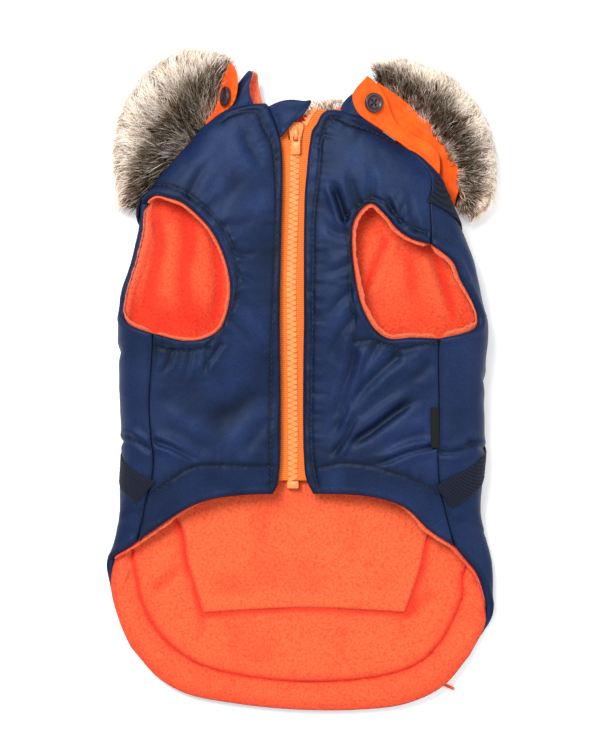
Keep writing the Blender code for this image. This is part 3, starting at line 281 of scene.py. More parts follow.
# Sections of the collar, which stands on from the neck.
COLLAR_ROWS = (
    (132, -58.0, 48.0, 9.5, 13.0, 13.0, 6.5),
    (146, -50.0, 42.0, 9.5, 13.0, 13.0, 6.5),
    (153, -45.2, 40.0, 9.5, 13.0, 13.0, 6.5),
    (165, -38.0, 38.0, 9.5, 13.5, 13.5, 6.8),
    (172, -33.0, 36.5, 9.5, 14.0, 14.0, 7.0),
    (180, -27.0, 35.0, 9.5, 14.0, 14.0, 7.0),
)
COLLAR_SHELL = 1.7
COLLAR_LINING = 1.5

# Seams and edges. A row of (x, y) lies on the belly side. One of (x, y, where) lies "under" on the back, on
# "top" as well, or at the "edge": the outermost point of the side that the sign of x names.
SIDE_SEAM = {
    -1: ((-83.4, 26.5), (-85.7, -11.5), (-84.6, -34.5), (-83.4, -43.5), (-84.6, -57.5), (-88.2, -70.0),
         (-93.7, -92.0)),
    1: ((78.8, 23.6), (78.8, -11.5), (78.2, -41.0), (79.4, -60.0), (82.8, -75.0), (88.6, -94.9)),
}
FRONT_EDGE = {
    -1: ((-17.3, 155.5), (-14.1, 147.0), (-11.4, 138.0), (-10.1, 129.0), (-9.8, 108.0), (-10.6, 80.0),
         (-11.2, 52.0), (-10.9, -29.0), (-11.6, -52.0), (-12.8, -60.0), (-15.5, -65.0)),
    1: ((15.4, 153.6), (12.2, 151.0), (9.6, 146.0), (6.4, 140.3), (4.9, 130.5), (3.5, 116.0), (2.3, 92.0),
        (2.1, 52.0), (1.7, -29.0), (2.1, -43.0), (3.4, -56.0), (7.5, -64.8)),
}
FRONT_HEM = {
    -1: ((-15.5, -65.0), (-33.0, -65.6), (-52.0, -68.4), (-66.7, -74.5), (-81.0, -84.0), (-93.7, -92.0)),
    1: ((7.5, -64.8), (31.6, -65.6), (46.6, -67.9), (61.0, -73.6), (74.2, -86.0), (88.6, -94.9)),
}
ARMHOLE_FRONT = {
    -1: ((-83.4, 26.5), (-65.0, 22.4), (-52.9, 24.2), (-44.9, 29.9),
         (-39.7, 48.9), (-41.4, 63.8), (-48.9, 82.2), (-63.8, 98.3),
         (-76.0, 103.4), (-84.0, 104.8), (-1, 100.0, "edge")),
    1: ((78.8, 23.6), (63.8, 24.2), (50.6, 23.6), (42.6, 28.8),
        (36.8, 38.0), (32.8, 50.0), (29.4, 76.0), (30.6, 90.5),
        (40.3, 100.3), (48.3, 93.4), (54.6, 85.7), (62.7, 80.2),
        (74.0, 76.8)),
}
ARMHOLE_BACK = {
    -1: ((-1, 100.0, "edge"), (-1, 85.0, "edge"), (-1, 67.0, "edge"), (-1, 50.0, "edge"),
         (-1, 39.0, "edge"), (-101.0, 33.0), (-94.0, 29.5), (-83.4, 26.5)),
    1: ((74.0, 76.8), (81.0, 72.6), (88.8, 66.2), (93.0, 56.5),
        (99.0, 47.5), (103.6, 37.5), (103.0, 31.0), (95.0, 27.0),
        (78.8, 23.6)),
}
SHOULDER = {
    -1: ((-1, 100.0, "edge"), (-1, 121.0, "edge"), (-1, 142.0, "edge")),
    1: ((74.0, 76.8), (74.0, 97.0), (74.0, 118.0)),
}
FRONT_NECK = {
    -1: ((-1, 142.0, "edge"), (-45.4, 152.2), (-34.5, 155.6), (-24.7, 157.2),
         (-17.3, 155.5)),
    1: ((74.0, 118.0), (67.5, 126.0), (57.6, 134.0), (46.0, 142.5),
        (36.4, 149.6), (28.7, 151.6), (22.0, 153.6), (15.4, 153.6)),
}
BACK_NECK = ((-1, 142.0, "edge"), (-40.0, 137.5, "under"), (-15.0, 134.5, "under"),
             (18.0, 134.5, "under"), (42.0, 134.5, "under"), (1, 131.0, "edge"), (74.0, 118.0))
BACK_HEM = {
    -1: ((-93.7, -92.0), (-102.0, -97.2), (-1, -103.0, "edge")),
    1: ((88.6, -94.9), (96.0, -103.0), (103.2, -110.6), (108.4, -123.0),
        (1, -133.0, "edge")),
}
TAIL_EDGE = ((-1, -103.0, "edge"), (-107.6, -124.8, "under"), (-102.4, -141.5, "under"),
             (-93.2, -157.6, "under"), (-81.1, -170.8, "under"), (-65.0, -179.8, "under"),
             (-38.5, -185.2, "under"), (-4.0, -188.8, "under"), (33.0, -189.0, "under"),
             (60.0, -185.6, "under"), (81.7, -175.4, "under"), (97.8, -156.6, "under"),
             (1, -133.0, "edge"))
# The seam round the main back lining, and the seam inside the hem casing.
LINING_SEAM = (
    ((-84.9, -59.0), (-1, -63.0, "edge"), (-84.0, -69.0, "under"), (-69.2, -81.0, "under"),
     (-64.6, -100.0, "under"), (-55.0, -133.0, "under")),
    ((-55.0, -133.0, "under"), (2.0, -130.2, "under"), (59.8, -132.8, "under")),
    ((59.8, -132.8, "under"), (67.0, -113.0, "under"), (74.0, -87.0, "under"), (84.0, -76.0, "under"),
     (1, -69.0, "edge"), (79.8, -62.0)),
)
CASING_SEAM = ((-88.9, -73.0), (-1, -82.0, "edge"), (-96.2, -99.5, "under"),
               (-93.7, -113.3, "under"), (-90.0, -128.2, "under"), (-78.2, -147.2, "under"),
               (-59.2, -161.6, "under"), (-32.8, -169.0, "under"), (6.0, -172.4, "under"),
               (46.6, -169.0, "under"), (68.4, -161.0, "under"), (82.8, -145.5, "under"),
               (92.2, -124.8, "under"), (93.7, -110.4, "under"), (1, -88.0, "edge"),
               (83.4, -77.0))
COLLAR_EDGE = (
    ((-25.4, 158.2, "top"), (-34.5, 156.6, "top"), (-43.6, 153.6, "top"), (-1, 150.0, "edge"),
     (-38.0, 141.0, "under"), (-15.0, 137.5, "under"), (18.0, 137.5, "under"), (30.0, 139.0, "under"),
     (1, 149.0, "edge"), (36.0, 151.0, "top"), (29.0, 152.8, "top"), (23.0, 154.8, "top")),
    ((23.0, 154.8, "top"), (27.6, 161.5, "top"), (1, 169.0, "edge")),
    ((1, 169.0, "edge"), (29.0, 160.0, "under"), (14.0, 153.4, "under"), (-8.0, 152.6, "under"),
     (-20.0, 156.0, "under"), (-22.8, 165.0, "under"), (-23.8, 173.0, "under"), (-1, 177.0, "edge")),
    ((-1, 177.0, "edge"), (-28.4, 168.0, "top"), (-25.4, 158.2, "top")),
)
# Hood pieces in plan, with the height of the cloth's upper face at each corner.
BAND_LEFT = ((38.1, 172.7, 27.4), (29.8, 161.9, 26.6), (34.0, 154.0, 26.2), (39.6, 149.2, 25.0),
             (48.4, 143.6, 22.0), (60.9, 134.8, 20.6), (69.6, 127.6, 19.4), (79.9, 118.0, 17.4),
             (79.4, 127.4, 17.4), (74.8, 134.2, 18.4), (66.0, 138.6, 19.4), (55.6, 145.4, 21.2),
             (52.4, 151.0, 22.0), (48.6, 161.0, 23.4), (41.8, 170.2, 25.4))
HOOD_LINING_LEFT = ((43.4, 170.0, 20.0), (52.6, 164.4, 17.0), (62.2, 157.4, 14.8), (69.0, 151.0, 13.8),
                    (74.6, 147.8, 13.0), (78.0, 141.7, 12.4), (82.9, 136.0, 12.0), (89.2, 125.8, 12.4),
                    (91.6, 118.0, 11.6), (91.6, 110.8, 10.4), (88.0, 102.6, 9.4), (85.6, 102.6, 8.8),
                    (83.4, 110.0, 8.8), (80.6, 117.2, 9.2), (79.6, 127.2, 10.6), (75.0, 134.0, 13.0),
                    (66.4, 138.2, 14.4), (55.4, 145.0, 15.6), (52.0, 151.0, 16.4), (46.0, 161.0, 18.0))
BAND_RIGHT = ((-43.9, 176.4, 20.5), (-41.3, 181.3, 24.5), (-38.4, 178.0, 28.8), (-36.9, 172.6, 30.2),
              (-37.2, 164.4, 29.8), (-39.2, 158.4, 26.8), (-43.4, 154.2, 21.6), (-53.6, 146.4, 18.2),
              (-55.8, 147.4, 16.0), (-50.0, 156.2, 14.6), (-48.6, 162.5, 14.6), (-47.0, 170.4, 16.2))
BAND_THICK = 1.4
BAND_RIGHT_THICK = 2.2     # seen nearly edge-on, so it is folded back on itself
GUARD_THICK = 2.6
HOOD_SHELL_EDGE = ((-46.0, 134.0), (-70.0, 118.0), (-80.0, 100.0), (-80.0, 80.0), (-70.0, 60.0),
                   (-44.0, 51.0), (0.0, 48.0), (46.0, 51.0), (72.0, 60.0), (81.0, 80.0), (87.0, 100.0),
                   (89.5, 112.0), (83.0, 128.0), (67.0, 138.0), (46.0, 136.0), (20.0, 134.0),
                   (0.0, 133.0), (-24.0, 134.0))
HOOD_SHELL_TOP = 7.0

# Reach of the fur along its middle line: (x, y, half width, height above the surface).
FUR_RIGHT = ((-44.8, 179.6, 3.4, 17.0), (-52.0, 177.0, 9.2, 22.0), (-60.4, 172.2, 16.6, 26.0),
             (-70.5, 164.3, 22.2, 29.0), (-79.7, 153.8, 22.4, 30.0), (-86.3, 142.2, 20.6, 29.0),
             (-91.0, 130.9, 16.6, 27.0), (-93.8, 120.9, 12.8, 24.0), (-95.6, 110.6, 8.4, 20.0),
             (-97.8, 101.4, 4.2, 14.0))
FUR_LEFT = ((46.4, 177.4, 3.0, 18.0), (55.6, 175.6, 7.4, 23.0), (68.5, 168.9, 11.8, 27.0),
            (82.2, 159.7, 13.3, 29.0), (92.7, 146.7, 13.6, 29.0), (99.6, 132.1, 11.6, 28.0),
            (102.3, 117.6, 10.1, 26.0), (101.4, 104.6, 8.2, 23.0), (95.4, 95.4, 4.6, 16.0))
FUR_NAPE = ((-46.0, 141.0, 5.0, 8.4), (-30.0, 143.6, 7.0, 9.1), (-12.0, 145.8, 8.6, 9.15),
            (6.0, 148.6, 9.6, 9.15), (22.0, 150.4, 9.4, 9.15), (38.0, 148.6, 7.4, 9.1),
            (48.0, 145.6, 5.0, 8.4))

# Each button's back, on its hood band, and the way its face looks.
BUTTONS = {
    "button_left": ((41.3, 157.4, 25.6), (0.42, -0.02, 0.9)),
    "button_right": ((-43.1, 162.6, 24.0), (-0.86, 0.02, 0.52)),
}

STRAP_A = ((74.0, 107.5), (-86.8, -64.4))           # shoulder seam to the opposite side seam
STRAP_B = ((80.6, -66.7), (-1, 101.0, "edge"))      # side seam to the opposite shoulder
HUMP_HALF = 17.0                               # the first strap rises over the second this far each way
HUMP_SLOPE = 14.0
LABEL = ((75.2, -15.5), (75.2, -38.5))         # middle of the label's ends, at the side seam
LABEL_WIDE = 5.0
LABEL_THICK = 0.7

STOP_Y = (-62.0, -58.0)                        # bottom stop of the zip
SLIDER_Y = (136.2, 146.6)
PIVOT_Y = 138.9                                # the pull's crossbar
PULL_END = 128.3
PULL_WIDE = 5.2
PULL_THICK = 1.3
PULL_EYE = 2.75                                # length of the hole in the pull
CROSSBAR = 1.3                                 # width of the bar between that hole and the pull's end
SLIDER_OVER = 1.1                              # the slider's plates, over and under the chain
SLIDER_NOSE = 3.3                              # half width of the slider at its lower end
SLIDER_WING = 4.5                              # and at its widest
BRIDGE_WIDE = 2.0
BRIDGE_HIGH = 3.1
BRIDGE_BAR = 0.9
BRIDGE_POST = 1.0
BRIDGE_END = 3.0                               # the bridge stops this far short of the slider's upper end
PULL_PLAY = 0.4                                # under the pull and on each side of the bridge in its hole
STOP_WIDE = 6.8
STOP_THICK = 4.2
TAPE_SHORT = 1.0                               # the tape stops this far short of the lining's edge
# The left tape bends away under the throat flap: (left x, right x, y).
TAPE_BEND = ((4.2, 16.4, 149.5), (6.8, 15.0, 153.0), (8.4, 14.0, 154.8))

# The drawcord's free end, from the hem casing's underside to its tip.
CORD_ROUTE = ((63.4, -153.6), (65.8, -156.8), (68.6, -159.8), (71.6, -162.8), (74.2, -166.0),
              (76.4, -169.4), (79.2, -172.6), (82.8, -174.9), (86.2, -176.4), (88.6, -177.6))
LIFT_AT = (74.0, -166.0)                       # the tail lies over the cord here
LIFT_HIGH = 2.7
LIFT_WIDE = 26.0


def smoothstep(t):
    t = np.clip(t, 0, 1)
    return t * t * (3 - 2 * t)


def cubic(t):
    """Weights of a cubic at t: of its end value, and of its slopes at the start and at the end."""
    return 3 * t**2 - 2 * t**3, t**3 - 2 * t**2 + t, t**3 - t**2


class Tube:
    """Maps (v, y, depth) to a point, from a table of sections."""

    def __init__(self, rows, low, high, tail=False):
        self.rows = np.array(rows, float)
        self.low = low
        self.high = high
        self.tail = tail

    def column(self, name, y):
        """Value of a column at y: a cubic through the rows, each row's slope taken from its neighbours."""
        known = self.rows[:, 0]
        value = self.rows[:, BODY_COLUMNS.index(name)]
        slope = np.gradient(value, known)
        y = np.clip(y, known[0], known[-1])
        i = np.clip(np.searchsorted(known, y) - 1, 0, len(known) - 2)
        span = known[i + 1] - known[i]
        t = (y - known[i]) / span
        rise, lead, trail = cubic(t)
        return value[i] * (1 - rise) + value[i + 1] * rise + span * (lead * slope[i] + trail * slope[i + 1])

    def section(self, y, side):
        """The sizes of one side of the section at y."""
        reach = np.where(side < 0, -self.column("right", y), self.column("left", y))
        low = np.minimum(self.low, 0.45 * reach)
        high = np.minimum(self.high, 0.6 * reach)
        base = self.column("base", y)
        heights = [base + self.column(name, y) for name in ("side", "crown", "zip")]
        fade = np.zeros_like(reach)
        if self.tail:
            start = np.where(side < 0, TAIL_START[-1], TAIL_START[1])
            fade = smoothstep((start - y) / TAIL_FADE)
        return reach, low, high, base, heights, fade

    def point(self, v, y, depth=0.0):
        v = np.asarray(v, float)
        y = np.asarray(y, float) + 0 * v
        side = np.where(v < 0, -1.0, 1.0)
        v = np.abs(v)
        reach, low, high, base, (side_z, crown_z, zip_z), fade = self.section(y, side)
        middle = side * ZIP_X
        turn = np.clip(v - 1, 0, 1) * math.pi / 2
        under_x = np.where(v < 1, v * (reach - low), reach - low + (low - depth) * np.sin(turn))
        under_z = side_z - (side_z - base - depth) * np.cos(turn)
        flat_x = np.where(v < 1, v * (reach - low), reach - low + low * np.clip(v - 1, 0, 1))
        under_x = under_x + (flat_x - under_x) * fade
        under_z = under_z + (base + depth - under_z) * fade
        turn = np.clip(v - 2, 0, 1) * math.pi / 2
        across = np.clip(4 - v, 0, 1)
        inner = reach - high
        top_x = np.where(v < 3, inner + (high - depth) * np.cos(turn), middle + (inner - middle) * across)
        full = zip_z + (crown_z - zip_z) * (1 - (1 - across) ** 2.2) - depth
        top_z = np.where(v < 3, side_z + (crown_z - depth - side_z) * np.sin(turn), full)
        x = side * np.where(v <= 2, under_x, top_x)
        z = np.where(v <= 2, under_z, top_z)
        if self.tail:
            far = ((x - LIFT_AT[0]) ** 2 + (y - LIFT_AT[1]) ** 2) / LIFT_WIDE**2
            z = z + LIFT_HIGH * np.exp(-far**2)
        return np.stack([x, y, z], -1)

    def place(self, x, y, where):
        """v of the place that lies at x, y on the named layer."""
        side = -1.0 if x < ZIP_X else 1.0
        if where == "edge":
            return 2.0
        reach, low, high, _, _, _ = self.section(np.array(y, float), np.array(side))
        reach, low, high = float(reach), float(low), float(high)
        x = abs(x) if where == "under" else side * x
        if where == "under":
            if x <= reach - low:
                return x / (reach - low)
            ahead = min((x - reach + low) / low, 1.0)
            fade = float(self.section(np.array(y, float), np.array(side))[5])
            bend = 1 + math.asin(ahead) * 2 / math.pi
            return bend + (1 + ahead - bend) * fade
        inner = reach - high
        if x > inner:
            return 3 - math.asin(min((x - inner) / high, 1.0)) * 2 / math.pi
        return 4 - (x - side * ZIP_X) / (inner - side * ZIP_X)


BODY = Tube(BODY_ROWS, ROUND_LOW, ROUND_HIGH, tail=True)
COLLAR = Tube(COLLAR_ROWS, 6.5, 6.5)

# v to a length round the half tube, so that triangles come out evenly, and back.
LENGTH_AT = (0.0, 88.0, 110.0, 136.0, 218.0)


def spread(v):
    return math.copysign(float(np.interp(abs(v), range(5), LENGTH_AT)), v)


def gather(q):
    q = np.asarray(q, float)
    return np.sign(q) * np.interp(np.abs(q), LENGTH_AT, range(5))


# ---------------------------------------------------------------- outlines and panels

def steps_of(line):
    """Lengths of a line's steps."""
    return np.linalg.norm(np.diff(line, axis=0), axis=1)


def headings(line):
    """The way ahead at each point of a line, of length 1."""
    ahead = np.gradient(line, axis=0)
    return ahead / np.linalg.norm(ahead, axis=1)[:, None]


def smooth_line(points, step):
    """Points about a step apart on a curve through the given ones, both ends kept."""
    points = np.array(points, float)
    if len(points) < 3:
        count = max(1, round(float(np.linalg.norm(points[-1] - points[0])) / step))
        return np.array([points[0] + (points[-1] - points[0]) * i / count for i in range(count + 1)])
    chord = np.sqrt(np.linalg.norm(np.diff(points, axis=0), axis=1))
    at = np.concatenate([[0], np.cumsum(chord)])
    slope = np.gradient(points, at, axis=0)
    line = []
    for i in range(len(points) - 1):
        span = at[i + 1] - at[i]
        for t in np.linspace(0, 1, 24, endpoint=False):
            rise, lead, trail = cubic(t)
            bend = span * (lead * slope[i] + trail * slope[i + 1])
            line.append(points[i] * (1 - rise) + points[i + 1] * rise + bend)
    line.append(points[-1])
    line = np.array(line)
    run = np.concatenate([[0], np.cumsum(steps_of(line))])
    count = max(2, round(run[-1] / step))
    wanted = np.linspace(0, run[-1], count + 1)
    return np.array([[np.interp(w, run, line[:, k]) for k in range(line.shape[1])] for w in wanted])


def unrolled(tube, rows):
    """Rows of (x, y, where), or of (x, y) on the belly side, as (q, y) on the unrolled cloth."""
    flat = []
    for row in rows:
        x, y = row[:2]
        where = row[2] if len(row) > 2 else "top"
        sign = -1 if x < (ZIP_X if where == "top" else 0) else 1
        flat.append((spread(tube.place(x, y, where) * sign), y))
    return flat


def area(outline):
    x, y = outline[:, 0], outline[:, 1]
    return 0.5 * float(np.sum(x * np.roll(y, -1) - np.roll(x, -1) * y))


def inset(outline, distance):
    """The outline moved in by a distance, or out where it is negative, and turned counter-clockwise."""
    if area(outline) < 0:
        outline = outline[::-1]
    before = outline - np.roll(outline, 1, axis=0)
    after = np.roll(outline, -1, axis=0) - outline
    before /= np.linalg.norm(before, axis=1)[:, None]
    after /= np.linalg.norm(after, axis=1)[:, None]
    ahead = before + after
    ahead /= np.linalg.norm(ahead, axis=1)[:, None]
    inward = np.stack([-ahead[:, 1], ahead[:, 0]], 1)
    stretch = 1 / np.maximum(0.5, np.abs(np.sum(ahead * after, 1)))
    return outline + inward * (distance * stretch)[:, None]


def inside(points, outline):
    """Which points are inside the outline, and how far each lies from it."""
    start, end = outline, np.roll(outline, -1, axis=0)
    run = end - start
    p = points[:, None, :]
    crosses = (start[None, :, 1] > p[..., 1]) != (end[None, :, 1] > p[..., 1])
    rise = np.where(np.abs(run[:, 1]) < 1e-12, 1e-12, run[:, 1])
    at = start[None, :, 0] + (p[..., 1] - start[None, :, 1]) * (run[:, 0] / rise)[None]
    within = np.sum(crosses & (p[..., 0] < at), 1) % 2 == 1
    t = np.clip(np.sum((p - start[None]) * run[None], 2) / np.sum(run * run, 1)[None], 0, 1)
    near = start[None] + run[None] * t[..., None]
    return within, np.min(np.linalg.norm(p - near, axis=2), 1)


# ---------------------------------------------------------------- meshes and relief

def bell(gap, reach):
    """1 at a gap of nothing, falling away to none past the reach."""
    return np.exp(-((gap / reach) ** 2))


def noise(x, y, size, seed):
    """Smooth noise from -1 to 1, with features of about that size."""
    grid = np.random.default_rng(seed).uniform(-1, 1, (64, 64))
    u, v = x / size + 31.7, y / size + 17.3
    i, j = np.floor(u).astype(int), np.floor(v).astype(int)
    a, b = smoothstep(u - i), smoothstep(v - j)
    corner = [grid[(i + di) % 64, (j + dj) % 64] for di in (0, 1) for dj in (0, 1)]
    low = corner[0] * (1 - b) + corner[1] * b
    high = corner[2] * (1 - b) + corner[3] * b
    return low * (1 - a) + high * a


def ripples(places, *layers):
    """Relief made of layers of smooth noise, each a (height, size, seed)."""
    return sum(high * noise(*places.T, size, seed) for high, size, seed in layers)


def near_line(points, line):
    """For each point: how far the line is, on which side of it the point lies, and how far along that is."""
    line = np.asarray(line, float)
    far = np.full(len(points), np.inf)
    side = np.zeros(len(points))
    along = np.zeros(len(points))
    run = 0.0
    for start, step in zip(line[:-1], np.diff(line, axis=0)):
        reach = float(np.hypot(*step))
        if not reach:
            continue
        gap = points - start
        t = np.clip(gap @ step / reach**2, 0, 1)
        off = np.hypot(*(gap - t[:, None] * step).T)
        closer = off < far
        far[closer] = off[closer]
        along[closer] = run + t[closer] * reach
        side[closer] = np.sign(step[0] * gap[closer, 1] - step[1] * gap[closer, 0])
        run += reach
    return far, side, along, run


def fold(points, line, width, depth, lip=0.0, lean=0.0, ends=(0.3, 0.3)):
    """A soft trough along a line, with raised lips beside it: lean puts more of them on one side of it, and
    ends are the shares of its length over which it fades in and out."""
    far, side, along, run = near_line(points, smooth_line(line, 3.0))
    share = along / run
    fade = 1.0
    for end, place in zip(ends, (share, 1 - share)):
        if end:
            fade = fade * smoothstep(place / end)
    trough = bell(far, width)
    lips = bell(far - 1.9 * width, 1.15 * width)
    return fade * (lip * lips * (1 + lean * side) - depth * trough)


def channel(points, line, depth=0.85, width=0.9, pucker=0.5, reach=6.5, seed=0):
    """The trough that a row of stitches pulls, with short, uneven puckers across it."""
    far, side, along, _ = near_line(points, line)
    stitch = 0.82 + 0.18 * np.cos(2 * np.pi * along / STITCH_PITCH)
    trough = -depth * bell(far, width) * stitch
    wave = noise(along, 40.0 * side, 2.3, seed) + 0.7 * noise(along, 40.0 * side, 4.1, seed + 1)
    strength = 0.35 + 0.65 * smoothstep(0.5 + noise(along, 0 * along, 19.0, seed + 2))
    fade = bell(far, reach) * smoothstep(far / 1.2)
    return trough + pucker * wave * strength * fade


def ring_quads(rings, sides):
    """Quads between closed rings of points, one ring after another."""
    index = np.arange(rings * sides).reshape(rings, sides)
    after = np.roll(index, -1, axis=1)
    return np.stack([index[:-1], after[:-1], after[1:], index[1:]], -1).reshape(-1, 4)


def ring_ends(rings, sides):
    """The faces that close the first ring and the last one."""
    first = np.arange(sides)
    return np.array([first[::-1], first + (rings - 1) * sides])


def grid_faces(rows, columns, flip):
    """The faces of a closed wall between two grids of points, the second under the first."""
    index = np.arange(rows * columns).reshape(rows, columns)
    quads = np.stack([index[:-1, :-1], index[:-1, 1:], index[1:, 1:], index[1:, :-1]], -1).reshape(-1, 4)
    rim = np.concatenate([index[0, :], index[1:, -1], index[-1, -2::-1], index[-2:0:-1, 0]])
    after = np.roll(rim, -1)
    count = rows * columns
    sides = np.stack([rim, rim + count, after + count, after], 1)
    if flip:
        quads, sides = quads[:, ::-1], sides[:, ::-1]
    return [np.concatenate([quads, quads[:, ::-1] + count, sides])]


def added(name, data):
    """A new object in the scene."""
    obj = bpy.data.objects.new(name, data)
    bpy.context.scene.collection.objects.link(obj)
    return obj


def mesh_piece(name, points, faces, material, body="vest", smooth=True, colour=None):
    """A piece from points in millimetres and arrays of faces, one array for each number of corners."""
    groups = [np.asarray(group, np.int32) for group in faces if len(group)]
    corners = np.concatenate([group.ravel() for group in groups])
    sizes = np.concatenate([np.full(len(group), group.shape[1]) for group in groups])
    mesh = bpy.data.meshes.new(name)
    mesh.vertices.add(len(points))
    mesh.vertices.foreach_set("co", (np.asarray(points, float) * MM).ravel())
    mesh.loops.add(len(corners))
    mesh.loops.foreach_set("vertex_index", corners)
    mesh.polygons.add(len(sizes))
    mesh.polygons.foreach_set("loop_start", np.concatenate([[0], np.cumsum(sizes)[:-1]]))
    mesh.polygons.foreach_set("use_smooth", np.full(len(sizes), smooth))
    mesh.update(calc_edges=True)
    mesh.validate()
    if colour is not None:
        layer = mesh.color_attributes.new("tint", "FLOAT_COLOR", "POINT")
        layer.data.foreach_set("color", np.asarray(colour, np.float32).ravel())
    mesh.materials.append(material)
    obj = added(name, mesh)
    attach(obj, body)
    return obj


# ---------------------------------------------------------------- cloth panels

FILL_SEED = 1                     # for the slight unevenness of a panel's inner points
RINGS = (0.35, 0.9, 1.6, 2.4)     # rows of points just inside a panel's edge, for its rounded rim


def note_cut(outline):
    """Takes a piece's unrolled outline as an array, and keeps nothing of it."""
    outline = np.asarray(outline, float)


def fill_points(outline, spacing):
    """Points a spacing apart in rows over the outline's box, slightly uneven."""
    low, high = outline.min(0), outline.max(0)
    rows = np.arange(low[1], high[1], spacing * math.sqrt(3) / 2)
    across = np.arange(low[0], high[0], spacing)
    x, y = np.meshgrid(across, rows)
    x = x + (np.arange(len(rows)) % 2)[:, None] * spacing / 2
    places = np.stack([x.ravel(), y.ravel()], 1)
    return places + np.random.default_rng(FILL_SEED).uniform(-0.12, 0.12, places.shape) * spacing


def in_parts(points, outline, size=6000):
    found = [inside(points[i:i + size], outline) for i in range(0, len(points), size)]
    return np.concatenate([f[0] for f in found]), np.concatenate([f[1] for f in found])


def fill(outline, spacing):
    """Triangles over an outline: the points, how far each is from the edge, and the triangles."""
    if area(outline) < 0:
        outline = outline[::-1]
    rim = resample(outline, spacing)
    places = [(inset(rim, gap), gap * 0.8) for gap in RINGS]
    places.append((fill_points(rim, spacing), RINGS[-1] + 0.55 * spacing))
    kept = []
    for group, margin in places:
        within, far = in_parts(group, rim)
        kept.append(group[within & (far > margin)])
    kept = np.concatenate(kept)
    points = [Vector(p) for p in rim] + [Vector(p) for p in kept]
    count = len(rim)
    found = delaunay_2d_cdt(points, [(i, (i + 1) % count) for i in range(count)], [], 1, 1e-5)
    flat = np.array([tuple(p) for p in found[0]])
    triangles = np.array([tuple(face) for face in found[2]])
    a, b, c = flat[triangles[:, 0]], flat[triangles[:, 1]], flat[triangles[:, 2]]
    turn = (b - a)[:, 0] * (c - a)[:, 1] - (b - a)[:, 1] * (c - a)[:, 0]
    triangles[turn < 0] = triangles[turn < 0][:, ::-1]
    far = in_parts(flat, rim)[1]
    far[:count] = 0.0
    return flat, far, triangles


def resample(outline, spacing):
    """The closed outline with points about a spacing apart, each of its corners kept."""
    line = []
    for start, end in zip(outline, np.roll(outline, -1, axis=0)):
        count = max(1, round(float(np.hypot(*(end - start))) / spacing))
        line += [start + (end - start) * i / count for i in range(count)]
    return np.array(line)


def wall(triangles, count):
    """The faces of a closed wall between two sheets of points that share their triangles."""
    edges = np.concatenate([triangles[:, [0, 1]], triangles[:, [1, 2]], triangles[:, [2, 0]]])
    key = edges[:, 0] * (2 * count) + edges[:, 1]
    twin = edges[:, 1] * (2 * count) + edges[:, 0]
    rim = edges[~np.isin(key, twin)]
    sides = np.stack([rim[:, 1], rim[:, 0], rim[:, 0] + count, rim[:, 1] + count], 1)
    return [np.concatenate([triangles, triangles[:, ::-1] + count]), sides]


def cloth_piece(name, outer, inner, triangles, material, colour):
    """A piece with an outer and an inner face that share their triangles."""
    return mesh_piece(name, np.concatenate([outer, inner]), wall(triangles, len(outer)), material,
                      colour=colour)


def rolled(far, radius):
    """How far a rounded edge falls away, at a distance from the edge."""
    radius = np.maximum(radius, 1e-6)
    return radius - np.sqrt(np.maximum(0.0, radius**2 - np.maximum(radius - far, 0) ** 2))


def outline_of(*edges, step=1.5):
    """One closed outline from edges that follow on from each other, with a corner at each join."""
    line = []
    for edge in edges:
        line += [tuple(p) for p in smooth_line(edge, step)][:-1]
    return np.array(line)


def edge_radius(flat, soft_lines, seam=0.9, free=2.0):
    """Rim radius of each point: large by a panel's free edges, small at its seams."""
    if not soft_lines:
        return np.full(len(flat), seam)
    far = np.min([near_line(flat, line)[0] for line in soft_lines], 0)
    return seam + (free - seam) * smoothstep((5.0 - far) / 3.0)


NYLON_SHORT = 0.02            # the nylon panels meet at their seams
RIM_WIDE = 6.0                # the padded band between a free edge and its row of stitches
RIM_HIGH = 0.55
PUFF = 0.95                   # the panel's own padding, which swells up from the seams
PUFF_REACH = 11.0
PUFF_SINK = 0.25              # the seams lie this much below the solid's face
CREASE_SHADE = 0.62            # how much painted shade darkens the bottom of a crease
CREASE_DEEP = 1.6             # and how deep such a crease is
SEAM_SHADE = 0.30              # and how much painted shade darkens it right at a seam or edge
SHEEN_UNEVEN = 0.34             # and how much painted sheen lightens and darkens it, in uneven patches of this size
SHEEN_PATCH = 13.0


def shell_panel(name, tube, outline, thick, spacing, relief, soft_lines, material, shade=None):
    """A nylon panel: relief gives how far its outer face stands out, in millimetres, from plan and cloth."""
    note_cut(outline)
    flat, far, triangles = fill(inset(outline, NYLON_SHORT), spacing)
    v = gather(flat[:, 0])
    plan = tube.point(v, flat[:, 1], 0.0)
    radius = edge_radius(flat, soft_lines, free=min(2.0, 0.48 * thick))
    free = (radius - radius.min()) / max(radius.max() - radius.min(), 1e-6)
    rise = relief(plan, flat, v)
    # Painted shade: the colour is darker where the relief sinks into a crease.
    tint = 1 - CREASE_SHADE * np.clip(-rise / CREASE_DEEP, 0, 1) ** 0.9
    rise = (rise + padding(far, free)) * smoothstep(far / 2.2)
    outer = tube.point(v, flat[:, 1], rolled(far, radius) - rise)
    inner = tube.point(v, flat[:, 1], thick - rolled(far, np.minimum(radius, 0.3 * thick)))
    # It rests flat: nothing sinks below the surface that it lies on.
    outer[:, 2] = np.maximum(outer[:, 2], 0.0)
    # Painted shade: the colour is darkened in the creases and beside the seams and edges.
    tint = tint * (1 - SEAM_SHADE * bell(far, 1.5))
    # Painted shade along the rows of stitches, and painted sheen that makes the cloth lighter and darker in
    # patches.
    if shade:
        tint = tint * (1 - shade(plan)) * (1 + SHEEN_UNEVEN * noise(*plan[:, :2].T, SHEEN_PATCH, 83))
    colour = np.concatenate([grey(tint), grey(np.ones(len(flat)))])
    # The unrolled cloth is seen from inside, so its triangles are turned over.
    return cloth_piece(name, outer, inner, triangles[:, ::-1], material, colour)


